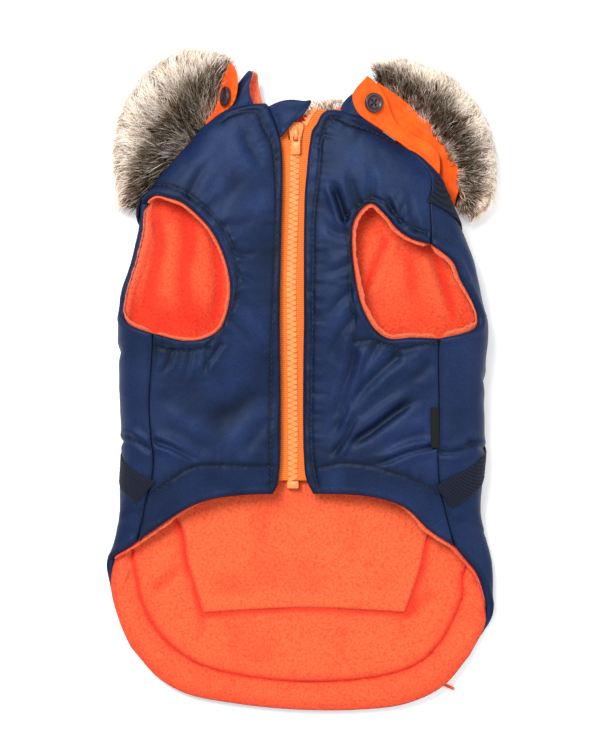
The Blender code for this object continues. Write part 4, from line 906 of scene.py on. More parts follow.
def padding(far, free):
    """How the wadding fills a panel: a round band along its free edges, and a soft rise past its seams."""
    rim = RIM_HIGH * np.sin(np.pi * np.clip(far / RIM_WIDE, 0, 1)) * free
    start = RIM_WIDE * free
    swell = PUFF * (1 - bell(np.maximum(far - start, 0), PUFF_REACH))
    return rim + swell - PUFF_SINK


def grey(value):
    return np.stack([value, value, value, np.ones(len(value))], 1)


def seam_lines(*groups):
    return [smooth_line(group, 3.0) for group in groups]


STITCH_PITCH = 3.2            # from the start of one stitch to the next
# How much painted shade darkens the cloth beside a row of stitches, and how far: close by, and more widely.
STITCH_SHADING = ((0.42, 1.7), (0.27, 5.5))
FOLD_FULL = 1.25              # the fronts' folds are this much fuller than their table says
# Rows of stitches on the fronts, in plan: along the front edge, the hem and round the armhole.
STITCHES = {
    "right_front": ((-44.0, 147.0), (-40.6, 149.7), (-24.7, 152.4), (-20.4, 142.7), (-15.9, 134.0),
                    (-14.2, 120.7), (-13.3, 107.5), (-14.2, 69.6), (-16.1, 17.2), (-16.7, -28.7),
                    (-16.1, -62.1)),
    "right_hem": ((-15.6, -49.0), (-34.3, -48.6), (-54.1, -48.3), (-63.7, -50.5), (-71.0, -55.3),
                  (-79.8, -61.5), (-84.6, -64.2)),
    "right_armhole": ((-88.5, 109.5), (-79.6, 111.0), (-69.6, 108.4), (-59.8, 102.5), (-49.9, 93.9),
                      (-43.2, 86.0), (-39.3, 78.0), (-36.0, 67.5), (-34.7, 55.6), (-36.0, 45.7),
                      (-40.0, 35.8), (-45.9, 27.3), (-53.8, 18.6), (-63.1, 16.7), (-76.2, 17.3),
                      (-84.2, 20.0), (-89.5, 22.0), (-98.0, 26.6), (-102.6, 30.5)),
    "left_front": ((55.2, 135.1), (41.4, 140.9), (28.7, 144.9), (17.5, 148.9), (12.2, 135.6),
                   (11.3, 125.1), (9.5, 107.5), (7.8, 89.9), (7.5, 69.0), (6.9, 17.2), (6.3, -28.7),
                   (7.2, -46.0), (10.3, -62.1)),
    "left_hem": ((9.0, -51.0), (22.0, -47.4), (36.7, -48.2), (51.3, -52.2), (62.3, -55.5),
                 (73.4, -61.4), (79.2, -64.3)),
    "left_armhole": ((25.0, 92.0), (27.4, 78.0), (28.3, 62.2), (28.6, 49.0), (30.6, 35.8), (31.3, 21.3)),
    "left_armhole_top": ((25.0, 92.0), (33.3, 99.1), (39.9, 102.8), (45.8, 101.8), (51.1, 97.9),
                         (57.0, 90.0), (65.5, 85.3), (72.9, 83.0)),
    "left_armhole_side": ((73.5, 83.0), (82.8, 80.0), (90.7, 74.8), (94.6, 65.5), (99.3, 56.3),
                          (102.6, 51.7)),
    "left_armhole_foot": ((31.3, 21.3), (39.2, 22.6), (48.5, 20.0), (57.7, 17.3), (66.3, 19.3),
                          (74.9, 20.6), (87.4, 21.9), (99.3, 24.6), (104.5, 28.5)),
}
# Folds of each front, in plan: (line, width, depth, lip, lean, fade at the start, fade at the end).
FOLDS = {
    "right": (
        (((-83.5, -34.4), (-73.9, -37.7), (-63.7, -42.8), (-54.1, -47.2)), 1.7, 1.3, 0.7, -0.3, 0.05, 0.5),
        (((-83.0, -24.0), (-70.0, -29.5), (-56.0, -37.0), (-47.0, -43.5)), 4.5, 0.7, 0.3, 0.0, 0.3, 0.4),
        (((-44.8, 20.1), (-50.6, 11.5), (-57.5, 1.1)), 1.6, 0.9, 0.4, 0.4, 0.0, 0.6),
        (((-52.0, 17.5), (-53.5, 9.0), (-52.5, -2.0)), 1.4, 0.6, 0.3, 0.0, 0.0, 0.6),
        (((-62.0, 16.0), (-63.5, 8.0), (-66.5, -3.0)), 1.5, 0.5, 0.3, 0.2, 0.0, 0.6),
        (((-72.0, 16.6), (-75.0, 8.5), (-80.0, 2.0)), 1.6, 0.6, 0.3, -0.2, 0.0, 0.5),
        (((-38.0, 33.0), (-31.0, 26.0), (-22.0, 14.0)), 2.4, 0.7, 0.3, 0.3, 0.0, 0.6),
        (((-34.0, 46.0), (-27.0, 38.0), (-19.5, 24.0)), 2.6, 0.6, 0.3, 0.0, 0.0, 0.6),
        (((-33.8, 60.0), (-28.0, 56.0), (-20.0, 55.0)), 2.0, 0.5, 0.3, 0.0, 0.0, 0.6),
        (((-37.0, 73.5), (-30.0, 71.0), (-22.0, 74.0)), 2.0, 0.6, 0.3, 0.4, 0.0, 0.6),
        (((-43.0, 87.0), (-33.0, 88.0), (-22.0, 95.0)), 3.0, 0.5, 0.2, 0.3, 0.0, 0.5),
        (((-51.0, 96.5), (-42.0, 104.0), (-31.0, 116.0)), 3.6, 0.4, 0.2, -0.3, 0.0, 0.5),
        (((-62.0, 105.0), (-57.0, 116.0), (-48.0, 128.0)), 2.8, 0.6, 0.3, 0.0, 0.0, 0.5),
        (((-18.0, 4.0), (-30.0, -10.0), (-46.0, -22.0), (-62.0, -28.0)), 7.0, 0.9, 0.4, 0.0, 0.3, 0.4),
        (((-17.5, -20.0), (-25.0, -31.0), (-36.0, -44.0)), 4.0, 0.8, 0.3, 0.3, 0.2, 0.3),
        (((-20.0, 120.0), (-28.0, 132.0), (-33.0, 146.0)), 3.5, 0.7, 0.3, 0.0, 0.2, 0.3),
    ),
    "left": (
        (((67.8, -6.9), (63.8, -11.5), (52.0, -20.0), (41.1, -28.3), (22.0, -40.1)), 2.7, 2.4, 1.0, -0.8, 0.3,
         0.35),
        (((32.2, -17.2), (29.3, -26.2), (19.8, -40.8), (16.7, -44.3)), 1.8, 1.0, 0.7, 0.5, 0.4, 0.2),
        (((28.2, -12.2), (24.1, -21.0), (19.0, -30.0)), 1.6, 0.9, 0.4, 0.0, 0.3, 0.4),
        (((77.6, -37.1), (62.3, -40.8), (46.9, -46.7), (35.2, -47.4)), 1.7, 1.3, 0.7, -0.4, 0.05, 0.4),
        (((48.5, 105.1), (50.8, 100.0), (52.4, 95.2)), 1.4, 0.9, 0.4, 0.0, 0.4, 0.0),
        (((59.1, 101.8), (57.7, 95.2), (56.3, 89.9)), 1.4, 0.9, 0.4, 0.0, 0.4, 0.0),
        (((31.6, 20.1), (28.7, 5.8), (23.0, -11.5), (17.2, -34.5)), 2.8, 1.3, 0.6, 0.5, 0.1, 0.4),
        (((58.6, 16.1), (43.1, 2.9), (29.9, -11.5), (23.0, -23.0)), 3.0, 1.3, 0.6, 0.5, 0.1, 0.4),
        (((44.0, 20.0), (37.0, 8.0), (31.0, -6.0)), 2.0, 0.7, 0.3, 0.0, 0.0, 0.5),
        (((17.5, 114.5), (21.8, 102.2), (25.4, 91.7)), 2.0, 1.9, 0.8, -0.6, 0.45, 0.0),
        (((33.5, 99.5), (30.0, 108.0), (27.0, 120.0)), 2.2, 0.9, 0.4, 0.3, 0.0, 0.5),
        (((40.5, 103.0), (41.0, 112.0), (38.5, 124.0)), 2.2, 0.7, 0.3, 0.0, 0.0, 0.6),
        (((66.0, 85.6), (63.0, 96.0), (62.0, 108.0)), 2.2, 0.8, 0.4, 0.2, 0.0, 0.6),
        (((27.8, 66.0), (20.0, 62.0), (12.0, 61.0)), 2.4, 0.6, 0.3, 0.0, 0.0, 0.6),
        (((28.5, 50.0), (21.0, 43.0), (13.0, 33.0)), 2.6, 0.7, 0.3, 0.3, 0.0, 0.5),
        (((30.4, 36.0), (23.0, 26.0), (15.0, 10.0)), 2.6, 0.8, 0.4, 0.3, 0.0, 0.5),
        (((26.6, 82.0), (19.0, 84.0), (12.0, 92.0)), 2.4, 0.6, 0.3, 0.0, 0.0, 0.5),
        (((75.5, 12.0), (68.0, 4.0), (56.0, -4.0)), 3.5, 0.6, 0.3, 0.0, 0.1, 0.5),
        (((73.0, -30.0), (60.0, -33.0), (44.0, -40.0)), 3.0, 0.7, 0.3, 0.0, 0.1, 0.5),
    ),
}


def folds_of(points, rows, rise=0.0):
    """Adds the folds in a table to a relief."""
    for line, width, depth, lip, lean, start, end in rows:
        rise = rise + fold(points, line, width, depth, lip, lean, (start, end))
    return rise


def stitch_shade(word):
    """Painted shade along the rows of stitches: the cloth is darkened beside them."""
    lines = [smooth_line(line, 2.0) for name, line in STITCHES.items() if name.startswith(word)]

    def shade(plan):
        gap = np.min([near_line(plan[:, :2], line)[0] for line in lines], 0)
        return sum(dark * bell(gap, reach) for dark, reach in STITCH_SHADING)
    return shade


def front_relief(word, side):
    """How far the front stands out: its padding, folds and the pull of its stitches."""
    def relief(plan, flat, v):
        spot = plan[:, :2]
        rise = ripples(spot, (0.75, 26.0, 11 + side), (0.28, 9.0, 15 + side), (0.08, 3.4, 19 + side))
        rise += FOLD_FULL * folds_of(spot, FOLDS[word])
        for k, (name, line) in enumerate(sorted(STITCHES.items())):
            if name.startswith(word):
                rise += channel(spot, smooth_line(line, 2.0), seed=30 + 3 * k)
        return np.clip(rise, -2.7, 1.5)
    return relief


LIP_WIDE = {-1: 1.9, 1: 2.8}      # the fleece that shows past the nylon at each armhole
HEM_LIP = 2.4                     # and at the outer parts of the hem
LIP_START = 1.6
LIP_RISE = 2.3
HOLLOW_SHADE = {-1: 0.80, 1: 0.52}         # how much painted shade darkens each side's hollow
SHADE_TAKES = (0.06, 0.74, 0.80)           # what full painted shade takes from red, green and blue
LIP_ADDS = (0.0, 0.22, 0.9)               # and what a lip, which catches the light, adds


def make_fronts():
    for side, word in ((-1, "right"), (1, "left")):
        edge, hem, seam, armhole, shoulder, neck = (
            unrolled(BODY, rows[side])
            for rows in (FRONT_EDGE, FRONT_HEM, SIDE_SEAM, ARMHOLE_FRONT, SHOULDER, FRONT_NECK))
        seam = seam[::-1]
        outline = outline_of(edge, hem, seam, armhole, shoulder, neck)
        piece = shell_panel(f"front_{word}_nylon", BODY, outline, SHELL, 1.15, front_relief(word, side),
                            seam_lines(edge, hem, armhole, neck), NYLON, stitch_shade(word))
        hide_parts(f"front_{word}_shell")
        inner_edge = unrolled(BODY, [(x + side * TAPE_HIDDEN, y) for x, y in FRONT_EDGE[side]])
        hem = [inner_edge[-1]] + hem[2:]
        neck = neck[:-2] + [inner_edge[0]]
        outline = outline_of(inner_edge, hem, seam, armhole, shoulder, neck)
        lips = [(armhole, LIP_WIDE[side]), (hem, outer_part(0.35, 0.8))]
        piece = lining_panel(f"front_{word}_fleece", outline, 2.2, None, lips)
        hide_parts(f"front_{word}_lining")


def lining_panel(name, outline, spacing, relief, lips, short=0.1, radius=0.9, shade=None):
    """A fleece panel under the nylon: lips are rows of (line, how far it rolls out past the nylon)."""
    note_cut(outline)
    flat, far, triangles = fill(inset(outline, short), spacing)
    lift = np.zeros(len(flat))
    shift = np.zeros((len(flat), 2))
    for lip, wide in lips:
        line = smooth_line(lip, 2.0)
        gap, _, along, run = near_line(flat, line)
        # The lip's ends merge into the seams, where the panels meet.
        ends = smoothstep(np.minimum(along, run - along) / 5.0)
        if callable(wide):
            ends = wide(along / run)
            wide = HEM_LIP
        near = smoothstep((LIP_START + 1.4 - gap) / 3.0) * ends
        lift = np.maximum(lift, near)
        ahead = headings(line)
        at = np.clip(np.searchsorted(np.linspace(0, run, len(line)), along), 0, len(line) - 1)
        out = np.stack([ahead[at, 1], -ahead[at, 0]], 1) * inside_way(line, outline)
        fuzz = 1 + 0.16 * noise(along, along * 0, 2.1, 77) + 0.12 * noise(along, along * 0, 6.0, 78)
        shift += out * (near * wide * fuzz)[:, None]
    flat = flat + shift
    v = gather(flat[:, 0])
    plan = BODY.point(v, flat[:, 1], LINING_TOP)
    rise = relief(plan, flat, v) if relief else np.zeros(len(flat))
    crease = np.clip(-rise / 1.5, 0, 1)
    rise = rise + 0.10 * noise(*flat.T, 2.2, 5) + 0.12 * noise(*flat.T, 4.7, 6)
    top = LINING_TOP - LIP_RISE * lift
    outer = BODY.point(v, flat[:, 1], top + rolled(far, 0.9) + 0.25 * noise(*flat.T, 2.0, 7) * lift)
    inner = BODY.point(v, flat[:, 1], top + LINING + rise * smoothstep(far / 1.0) - rolled(far, radius))
    # Painted shade: the pile is darkened where it lies in the body's hollow, less on its ridges, and in the
    # creases; the lips get a painted highlight.
    hollow = smoothstep((2.1 - np.abs(v)) / 0.3) * smoothstep((plan[:, 1] - 5.0) / 30.0)
    hollow = hollow * np.where(v < 0, HOLLOW_SHADE[-1], HOLLOW_SHADE[1])
    deep = hollow * (1 - 0.55 * np.clip(rise / 1.4, 0, 1)) + 0.9 * crease
    if shade:
        deep = deep + shade(flat, v, far)
    deep = np.clip(deep, 0, 1)[:, None]
    colour = 1 - deep * SHADE_TAKES + lift[:, None] * LIP_ADDS
    colour = np.tile(np.column_stack([colour, np.ones(len(flat))]), (2, 1))
    return cloth_piece(name, outer, inner, triangles[:, ::-1], FLEECE, colour)


def outer_part(start, end):
    """A lip's width along the hem, as a share: none at the start, full at the end."""
    def wide(share):
        return smoothstep((share - start) / (end - start))
    return wide


def inside_way(line, outline):
    """1 where the right hand of the line points out of the outline, else -1."""
    middle = len(line) // 2
    ahead = line[middle + 1] - line[middle - 1]
    ahead = ahead / np.linalg.norm(ahead)
    probe = line[middle] + np.array([ahead[1], -ahead[0]]) * 3.0
    return -1.0 if inside(probe[None], outline)[0][0] else 1.0


# ---------------------------------------------------------------- the back, the tail and the collar

def above(seam, place):
    """The seam's points above a place on it, ending at that place."""
    return [p for p in seam if p[1] > place[1] + 3.0] + [place]


def below(seam, place):
    return [place] + [p for p in seam if p[1] < place[1] - 3.0]


def between(seam, start, end):
    return [start] + [p for p in seam if end[1] + 3.0 < p[1] < start[1] - 3.0] + [end]


# Folds of the back's nylon, on the unrolled cloth, with the same columns as the fronts' folds.
BACK_FOLDS = (
    (((-70.0, 60.0), (-40.0, 40.0), (-5.0, 35.0)), 5.0, 0.9, 0.4, 0.3, 0.3, 0.4),
    (((80.0, 30.0), (50.0, 5.0), (20.0, -5.0)), 5.0, 0.9, 0.4, -0.3, 0.3, 0.4),
    (((-90.0, -20.0), (-60.0, -38.0), (-20.0, -45.0)), 6.0, 0.8, 0.4, 0.2, 0.3, 0.4),
    (((60.0, -55.0), (20.0, -75.0), (-30.0, -80.0)), 6.0, 0.8, 0.4, 0.0, 0.3, 0.4),
    (((40.0, -110.0), (5.0, -120.0), (-40.0, -112.0)), 6.0, 0.6, 0.3, 0.0, 0.3, 0.4),
    (((-118.0, 20.0), (-96.0, 8.0), (-80.0, 0.0)), 3.0, 0.9, 0.4, 0.2, 0.2, 0.5),
    (((118.0, 5.0), (96.0, -12.0), (84.0, -20.0)), 3.0, 0.9, 0.4, -0.2, 0.2, 0.5),
    (((-122.0, -32.0), (-108.0, -36.0), (-92.0, -40.0)), 1.8, 1.1, 0.6, 0.0, 0.0, 0.5),
    (((126.0, -35.0), (112.0, -39.0), (96.0, -42.0)), 1.8, 1.1, 0.6, 0.0, 0.0, 0.5),
)
SIDE_FOLDS = {
    -1: ((((-102.6, -30.6), (-93.0, -34.7), (-85.1, -39.3)), 1.7, 1.3, 0.7, 0.2, 0.1, 0.0),),
    1: ((((77.7, -40.8), (88.0, -40.8), (95.3, -37.9), (103.0, -32.0)), 1.7, 1.3, 0.7, -0.3, 0.0, 0.2),),
}
HEM_PITCH = 7.5               # the drawcord gathers the tail's hem into puckers about this far apart


def back_relief(plan, flat, v):
    belly = smoothstep((np.abs(v) - 2.0) / 0.4)
    rise = ripples(flat, (0.6, 24.0, 51), (0.25, 9.0, 52), (0.05, 3.4, 53))
    rise += folds_of(flat, BACK_FOLDS)
    for side in (-1, 1):
        here = belly * (np.sign(v) == side)
        rise += here * folds_of(plan[:, :2], SIDE_FOLDS[side])
    rise += belly * channel(plan[:, :2], smooth_line(STITCHES["left_armhole_side"], 2.0), seed=90)
    rise += 0.5 * gathers(flat, TAIL_SEAMS["casing"], 5.0, 0.8, 91)
    return np.clip(rise, -2.4, 1.4)


def gathers(flat, line, reach, depth, seed):
    """Puckers across a gathered row of stitches, with the row's own trough."""
    gap, side, along, _ = near_line(flat, line)
    wave = noise(along, 30.0 * side, HEM_PITCH / 2, seed) + 0.5 * noise(along, 30.0 * side, 2.2, seed + 1)
    return depth * wave * bell(gap, reach) - 0.8 * bell(gap, 1.3)


# The tail's seams on the unrolled cloth, as lines.
TAIL_SEAMS = {
    "casing": smooth_line(unrolled(BODY, CASING_SEAM), 2.5),
    "lining": np.concatenate([smooth_line(unrolled(BODY, rows), 2.5) for rows in LINING_SEAM]),
    "edge": smooth_line(unrolled(BODY, TAIL_EDGE), 2.5),
}
LINING_OVER = 0.7             # each fleece panel's edge laps this far over the next one's
EDGE_HIGH = 1.1               # and stands up, thick and soft
VALLEY = 1.0                  # the next one sinks beside it
# Folds of the lining: in the body's hollow, seen through the armholes, and towards the tail.
HOLLOW_FOLDS = (
    (((50.6, 83.0), (46.0, 72.0), (41.0, 60.0), (35.7, 46.0)), 2.6, 1.6, 1.9, 0.5, 0.15, 0.35),
    (((75.0, 75.0), (80.0, 62.0), (85.0, 46.0), (89.0, 29.0)), 3.0, 1.6, 2.0, -0.5, 0.2, 0.35),
    (((60.0, 78.0), (63.0, 60.0), (62.0, 40.0)), 5.5, 0.8, 0.9, 0.0, 0.3, 0.4),
    (((-52.0, 90.0), (-47.0, 72.0), (-46.0, 50.0), (-50.0, 30.0)), 3.0, 1.2, 1.2, 0.3, 0.2, 0.3),
    (((-66.0, 98.0), (-63.0, 80.0), (-66.0, 60.0), (-64.0, 36.0)), 4.5, 1.2, 1.3, 0.0, 0.2, 0.3),
    (((-84.0, 96.0), (-80.0, 78.0), (-84.0, 58.0), (-88.0, 38.0)), 3.6, 1.1, 1.1, -0.3, 0.2, 0.3),
    (((-20.0, -70.0), (-26.0, -90.0), (-24.0, -112.0)), 8.0, 0.25, 0.5, 0.0, 0.2, 0.4),
    (((22.0, -68.0), (30.0, -88.0), (34.0, -110.0)), 8.0, 0.25, 0.5, 0.0, 0.2, 0.4),
)


def under_lining(plan, flat, v):
    """Relief of the main back lining: folds seen through the armholes, and a full edge at its seam."""
    spot = plan[:, :2]
    under = smoothstep((2.3 - np.abs(v)) / 0.5)
    rise = ripples(spot, (0.5, 22.0, 61), (0.15, 8.0, 62))
    rise += under * folds_of(spot, HOLLOW_FOLDS)
    gap = near_line(flat, TAIL_SEAMS["lining"])[0]
    rise += EDGE_HIGH * bell(gap - 2.6, 5.0)
    return np.clip(rise, -1.3, 3.4)


# Folds of the tail in plan, at the ends where the hem is drawn in.
TAIL_FOLDS = (
    (((-87.0, -123.0), (-76.0, -113.0), (-65.7, -103.5)), 4.5, 1.0, 0.5, 0.3, 0.2, 0.4),
    (((59.2, -138.0), (69.0, -128.0), (78.8, -118.3)), 4.5, 0.9, 0.5, -0.3, 0.2, 0.3),
    (((62.0, -150.0), (58.0, -142.0), (57.5, -135.0)), 3.0, 0.7, 0.3, 0.0, 0.2, 0.2),
    (((-58.0, -150.0), (-56.0, -142.0), (-56.5, -135.0)), 3.0, 0.7, 0.3, 0.0, 0.2, 0.2),
    (((-20.0, -138.0), (-18.0, -150.0), (-22.0, -166.0)), 6.0, 0.15, 0.3, 0.0, 0.3, 0.3),
    (((24.0, -137.0), (22.0, -150.0), (28.0, -165.0)), 6.0, 0.15, 0.3, 0.0, 0.3, 0.3),
)
BAND_CREASES = (
    (((-103.5, -124.0), (-99.0, -115.0), (-95.5, -106.8)), 1.5, 1.1, 0.6, 0.3, 0.1, 0.3),
    (((-107.0, -112.0), (-101.0, -108.0), (-96.0, -100.0)), 1.6, 0.8, 0.4, 0.0, 0.1, 0.3),
    (((96.9, -128.1), (101.0, -131.0), (105.9, -134.0)), 1.4, 1.2, 0.6, 0.3, 0.2, 0.1),
    (((94.5, -112.0), (99.0, -118.0), (104.0, -121.0)), 1.5, 0.9, 0.4, 0.0, 0.2, 0.2),
    (((-72.0, -157.0), (-77.0, -164.0), (-80.0, -170.0)), 1.8, 0.9, 0.4, 0.2, 0.1, 0.2),
    (((-38.0, -168.0), (-41.0, -176.0), (-43.0, -184.0)), 2.0, 0.8, 0.4, 0.0, 0.1, 0.2),
    (((30.0, -172.0), (33.0, -180.0), (33.0, -187.0)), 2.4, 0.6, 0.3, 0.0, 0.1, 0.2),
    (((74.0, -155.0), (80.0, -161.0), (86.0, -165.0)), 1.8, 0.8, 0.4, 0.2, 0.1, 0.2),
)


def tail_relief(plan, flat, v):
    """The tail lining: thick and puckered along its lower seam, and low by the main lining."""
    rise = ripples(flat, (0.5, 18.0, 71), (0.15, 7.0, 72))
    rise += folds_of(plan[:, :2], TAIL_FOLDS)
    gap = near_line(flat, TAIL_SEAMS["lining"])[0]
    rise -= VALLEY * bell(gap, 3.4)
    gap, _, along, _ = near_line(flat, TAIL_SEAMS["casing"])
    rise += EDGE_HIGH * bell(gap - 2.6, 5.0)
    rise += 0.35 * noise(along, along * 0, HEM_PITCH / 2, 73) * bell(gap, 7.0)
    return np.clip(rise, -1.2, 3.0)


BAND_FULL = 1.7               # the band stands this much fuller along its middle, over the cord
BAND_MIDDLE = 9.0             # that middle's distance from the seam


def band_relief(plan, flat, v):
    """The hem band: full over the drawcord, sunk along the seam, with puckers across it."""
    gap, _, along, _ = near_line(flat, TAIL_SEAMS["casing"])
    rise = BAND_FULL * bell(gap - BAND_MIDDLE, 7.0) - VALLEY * bell(gap, 2.4)
    wave = noise(along, 0 * along, HEM_PITCH / 2, 81) + 0.6 * noise(along, gap, 4.0, 82)
    rise += 0.45 * wave * bell(gap, 8.0) + 0.25 * noise(*flat.T, 9.0, 83)
    rise += folds_of(plan[:, :2], BAND_CREASES)
    return np.clip(rise, -1.2, 3.0)


def near_seam(flat, name, reach):
    """A shade beside a seam, fading over a reach."""
    return bell(near_line(flat, TAIL_SEAMS[name])[0], reach)


def under_shade(flat, v, far):
    # Painted shade: a thin dark line on the main lining along its lower seam.
    return 0.45 * near_seam(flat, "lining", 0.9) * (np.abs(v) < 2.3)


def tail_shade(flat, v, far):
    """Painted shade on the tail: darker beside the main lining's edge and by the band, a little darker all
    over, and uneven in patches.
    """
    beside = 0.55 * near_seam(flat, "lining", 3.0) + 0.16 * near_seam(flat, "lining", 9.0)
    fallen = 0.75 * near_seam(flat, "casing", 1.5) + 0.22 * near_seam(flat, "casing", 8.0)
    return 0.04 + beside + fallen + 0.05 * noise(*flat.T, 14.0, 75)


def band_shade(flat, v, far):
    # Painted shade on the hem band: a little darker all over, dark along its seam, and darker towards its
    # outer edge, where it rolls over.
    gap = near_line(flat, TAIL_SEAMS["casing"])[0]
    edge = smoothstep(1 - far / 7.0)
    return 0.16 + 0.60 * bell(gap, 1.5) + 0.45 * edge * smoothstep(gap / 8.0) \
        + 0.08 * noise(*flat.T, 11.0, 85)


def make_back():
    neck = unrolled(BODY, BACK_NECK)
    seams, armholes, shoulders, hems = (
        {side: unrolled(BODY, rows[side]) for side in (-1, 1)}
        for rows in (SIDE_SEAM, ARMHOLE_BACK, SHOULDER, BACK_HEM))
    tail = unrolled(BODY, TAIL_EDGE)
    upper_left = (shoulders[1][::-1], armholes[1])
    upper_right = (armholes[-1][::-1], shoulders[-1])
    outline = outline_of(neck, *upper_left, seams[1], hems[1], tail[::-1], hems[-1][::-1],
                         seams[-1][::-1], *upper_right)
    piece = shell_panel("back_nylon", BODY, outline, SHELL, 2.0, back_relief,
                        seam_lines(neck, armholes[-1], armholes[1], hems[-1], hems[1], tail), NYLON)
    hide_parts("back_shell")

    first, bottom, last = (unrolled(BODY, rows) for rows in LINING_SEAM)
    outline = outline_of(neck, *upper_left, above(seams[1], last[-1]), last[::-1], bottom[::-1],
                         first[::-1], above(seams[-1], first[0])[::-1], *upper_right)
    lips = [(armholes[side], LIP_WIDE[side]) for side in (-1, 1)]
    piece = lining_panel("back_fleece", outline, 1.9, under_lining, lips, short=-LINING_OVER, radius=1.9,
                         shade=under_shade)
    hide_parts("back_lining")

    casing = unrolled(BODY, CASING_SEAM)
    outline = outline_of(first, bottom, last, between(seams[1], last[-1], casing[-1]), casing[::-1],
                         between(seams[-1], first[0], casing[0])[::-1])
    piece = lining_panel("tail_fleece", outline, 1.5, tail_relief, [], short=-0.8, radius=1.9,
                         shade=tail_shade)
    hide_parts("tail_lining")
    outline = outline_of(casing, below(seams[1], casing[-1]), hems[1], tail[::-1], hems[-1][::-1],
                         below(seams[-1], casing[0])[::-1])
    lips = [(hems[side], outer_part(1.0, 0.6)) for side in (-1, 1)]
    piece = lining_panel("tail_band_fleece", outline, 1.4, band_relief, lips, short=0.0, radius=1.9,
                         shade=band_shade)
    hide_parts("tail_band")


COLLAR_HIDDEN = 3.0
COLLAR_TINT = (1.15, 1.45, 2.1)           # the collar's fleece is paler than the lining
COLLAR_RIM = (0.0, 0.5, 1.6)              # and paler still along its edge
# The collar's real half length round, where its outline is drawn on cloth as long as the body's.
COLLAR_ROUND = float(np.sum(steps_of(COLLAR.point(np.linspace(0.01, 4, 80), 156.0))))


def paler(far):
    """Tint of fleece that is paler along its edge."""
    rim = bell(far, 1.8)[:, None]
    return np.column_stack([np.array(COLLAR_TINT) + rim * COLLAR_RIM, np.ones(len(far))])


def make_collar():
    # The peak is rounded, and the collar's seam lies hidden under the fronts.
    seam, rise, far, near = COLLAR_EDGE
    hidden = tuple((x, y - COLLAR_HIDDEN * (where == "top"), where) for x, y, where in seam)
    peak = far[:-1] + ((-24.2, 175.4, "under"), (-27.4, 175.2, "top")) + near[1:-1]
    edges = (hidden, (hidden[-1],) + rise, peak + (hidden[0],))
    outline = outline_of(*[unrolled(COLLAR, rows) for rows in edges])
    for name, node, top, thick, material, slot in (
            ("collar_nylon", "collar_shell", 0.0, COLLAR_SHELL, NYLON, "navy_nylon"),
            ("collar_fleece", "collar_lining", COLLAR_SHELL + 0.4, COLLAR_LINING, FLEECE, "coral_fleece")):
        note_cut(outline * (COLLAR_ROUND / LENGTH_AT[-1], 1.0))
        flat, far, triangles = fill(inset(outline, SEAM), 1.4)
        v = gather(flat[:, 0])
        fall = rolled(far, 0.45 * thick)
        wave = ripples(flat, (0.3, 12.0, 41), (0.12, 4.0, 42))
        outer = COLLAR.point(v, flat[:, 1], top + fall - wave * smoothstep(far / 3.0))
        inner = COLLAR.point(v, flat[:, 1], top + thick - fall - wave * smoothstep(far / 3.0))
        tint = paler(far) if material is FLEECE else grey(np.ones(len(flat)))
        piece = cloth_piece(name, outer, inner, triangles[:, ::-1], material, np.tile(tint, (2, 1)))
        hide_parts(node)


# ---------------------------------------------------------------- fur

# Hair colour from the root to the tip, as (share of the length, red, green, blue).
HAIR_TINTS = ((0.0, 0.012, 0.006, 0.003), (0.30, 0.044, 0.019, 0.009), (0.50, 0.150, 0.080, 0.044),
              (0.66, 0.420, 0.285, 0.190), (0.82, 0.930, 0.800, 0.670), (1.0, 1.000, 0.970, 0.920))
HAIR_STEPS = 5                # pieces of ribbon in a hair
# Each strip: (row, sign of its outward side, hairs, length, width, lean at the start and end, reach past the
# row, reach in under the band).
FUR = {
    "fur_right": (FUR_RIGHT, -1, 16500, 18.0, 0.40, (-0.55, 0.30), 0.80, 8.0),
    "fur_left": (FUR_LEFT, 1, 16500, 15.0, 0.40, (-0.65, 0.05), 0.84, 8.0),
    "fur_nape": (FUR_NAPE, 1, 5000, 8.0, 0.34, (-0.25, 0.25), 1.10, 0.0),
}
LOCKS = (30, 5)               # locks of hair along a strip and across it
LOCK_KINDS = 997              # sets of heading, length and tone that the locks are drawn from
FUR_OUTER = 0.70              # the outermost roots, as a share of the strip's half width
TINT_CAP = 0.80               # power to which a tint brighter than white is scaled back, 1 keeping its hue
INNER_SHARE = 0.26            # of the hairs, those that are short and fill the inner edge
LOW_SHARE = 0.34              # those that lie low and fill the outer side
PALE_SHARE = 0.22             # and those that are pale
PALE_GAIN = 1.9               # how much brighter these are
# Brightness across the strip: in general, less where the roots show, and more at the outer edge.
TONE = 0.64
TONE_ROOTS = 0.595
TONE_EDGE = 0.42
DRAWN = 0.55                  # how far the hairs of a lock draw together at their tips


def pile(t):
    """Height of the pile across the strip, as a share of its full height."""
    return np.maximum(np.maximum(0.02, 1 - np.abs(0.86 * t) ** 2.6) ** 0.6, 0.55 * (t < 0))


def hair_frame(line, share):
    """Place, half width, height and heading of the strip's middle line at shares of its length."""
    at = np.linspace(0, 1, len(line))
    ahead = headings(line[:, :2])
    columns = np.concatenate([line, ahead], 1)
    found = np.stack([np.interp(share, at, columns[:, k]) for k in range(6)], 1)
    found[:, 4:6] /= np.linalg.norm(found[:, 4:6], axis=1)[:, None]
    return found


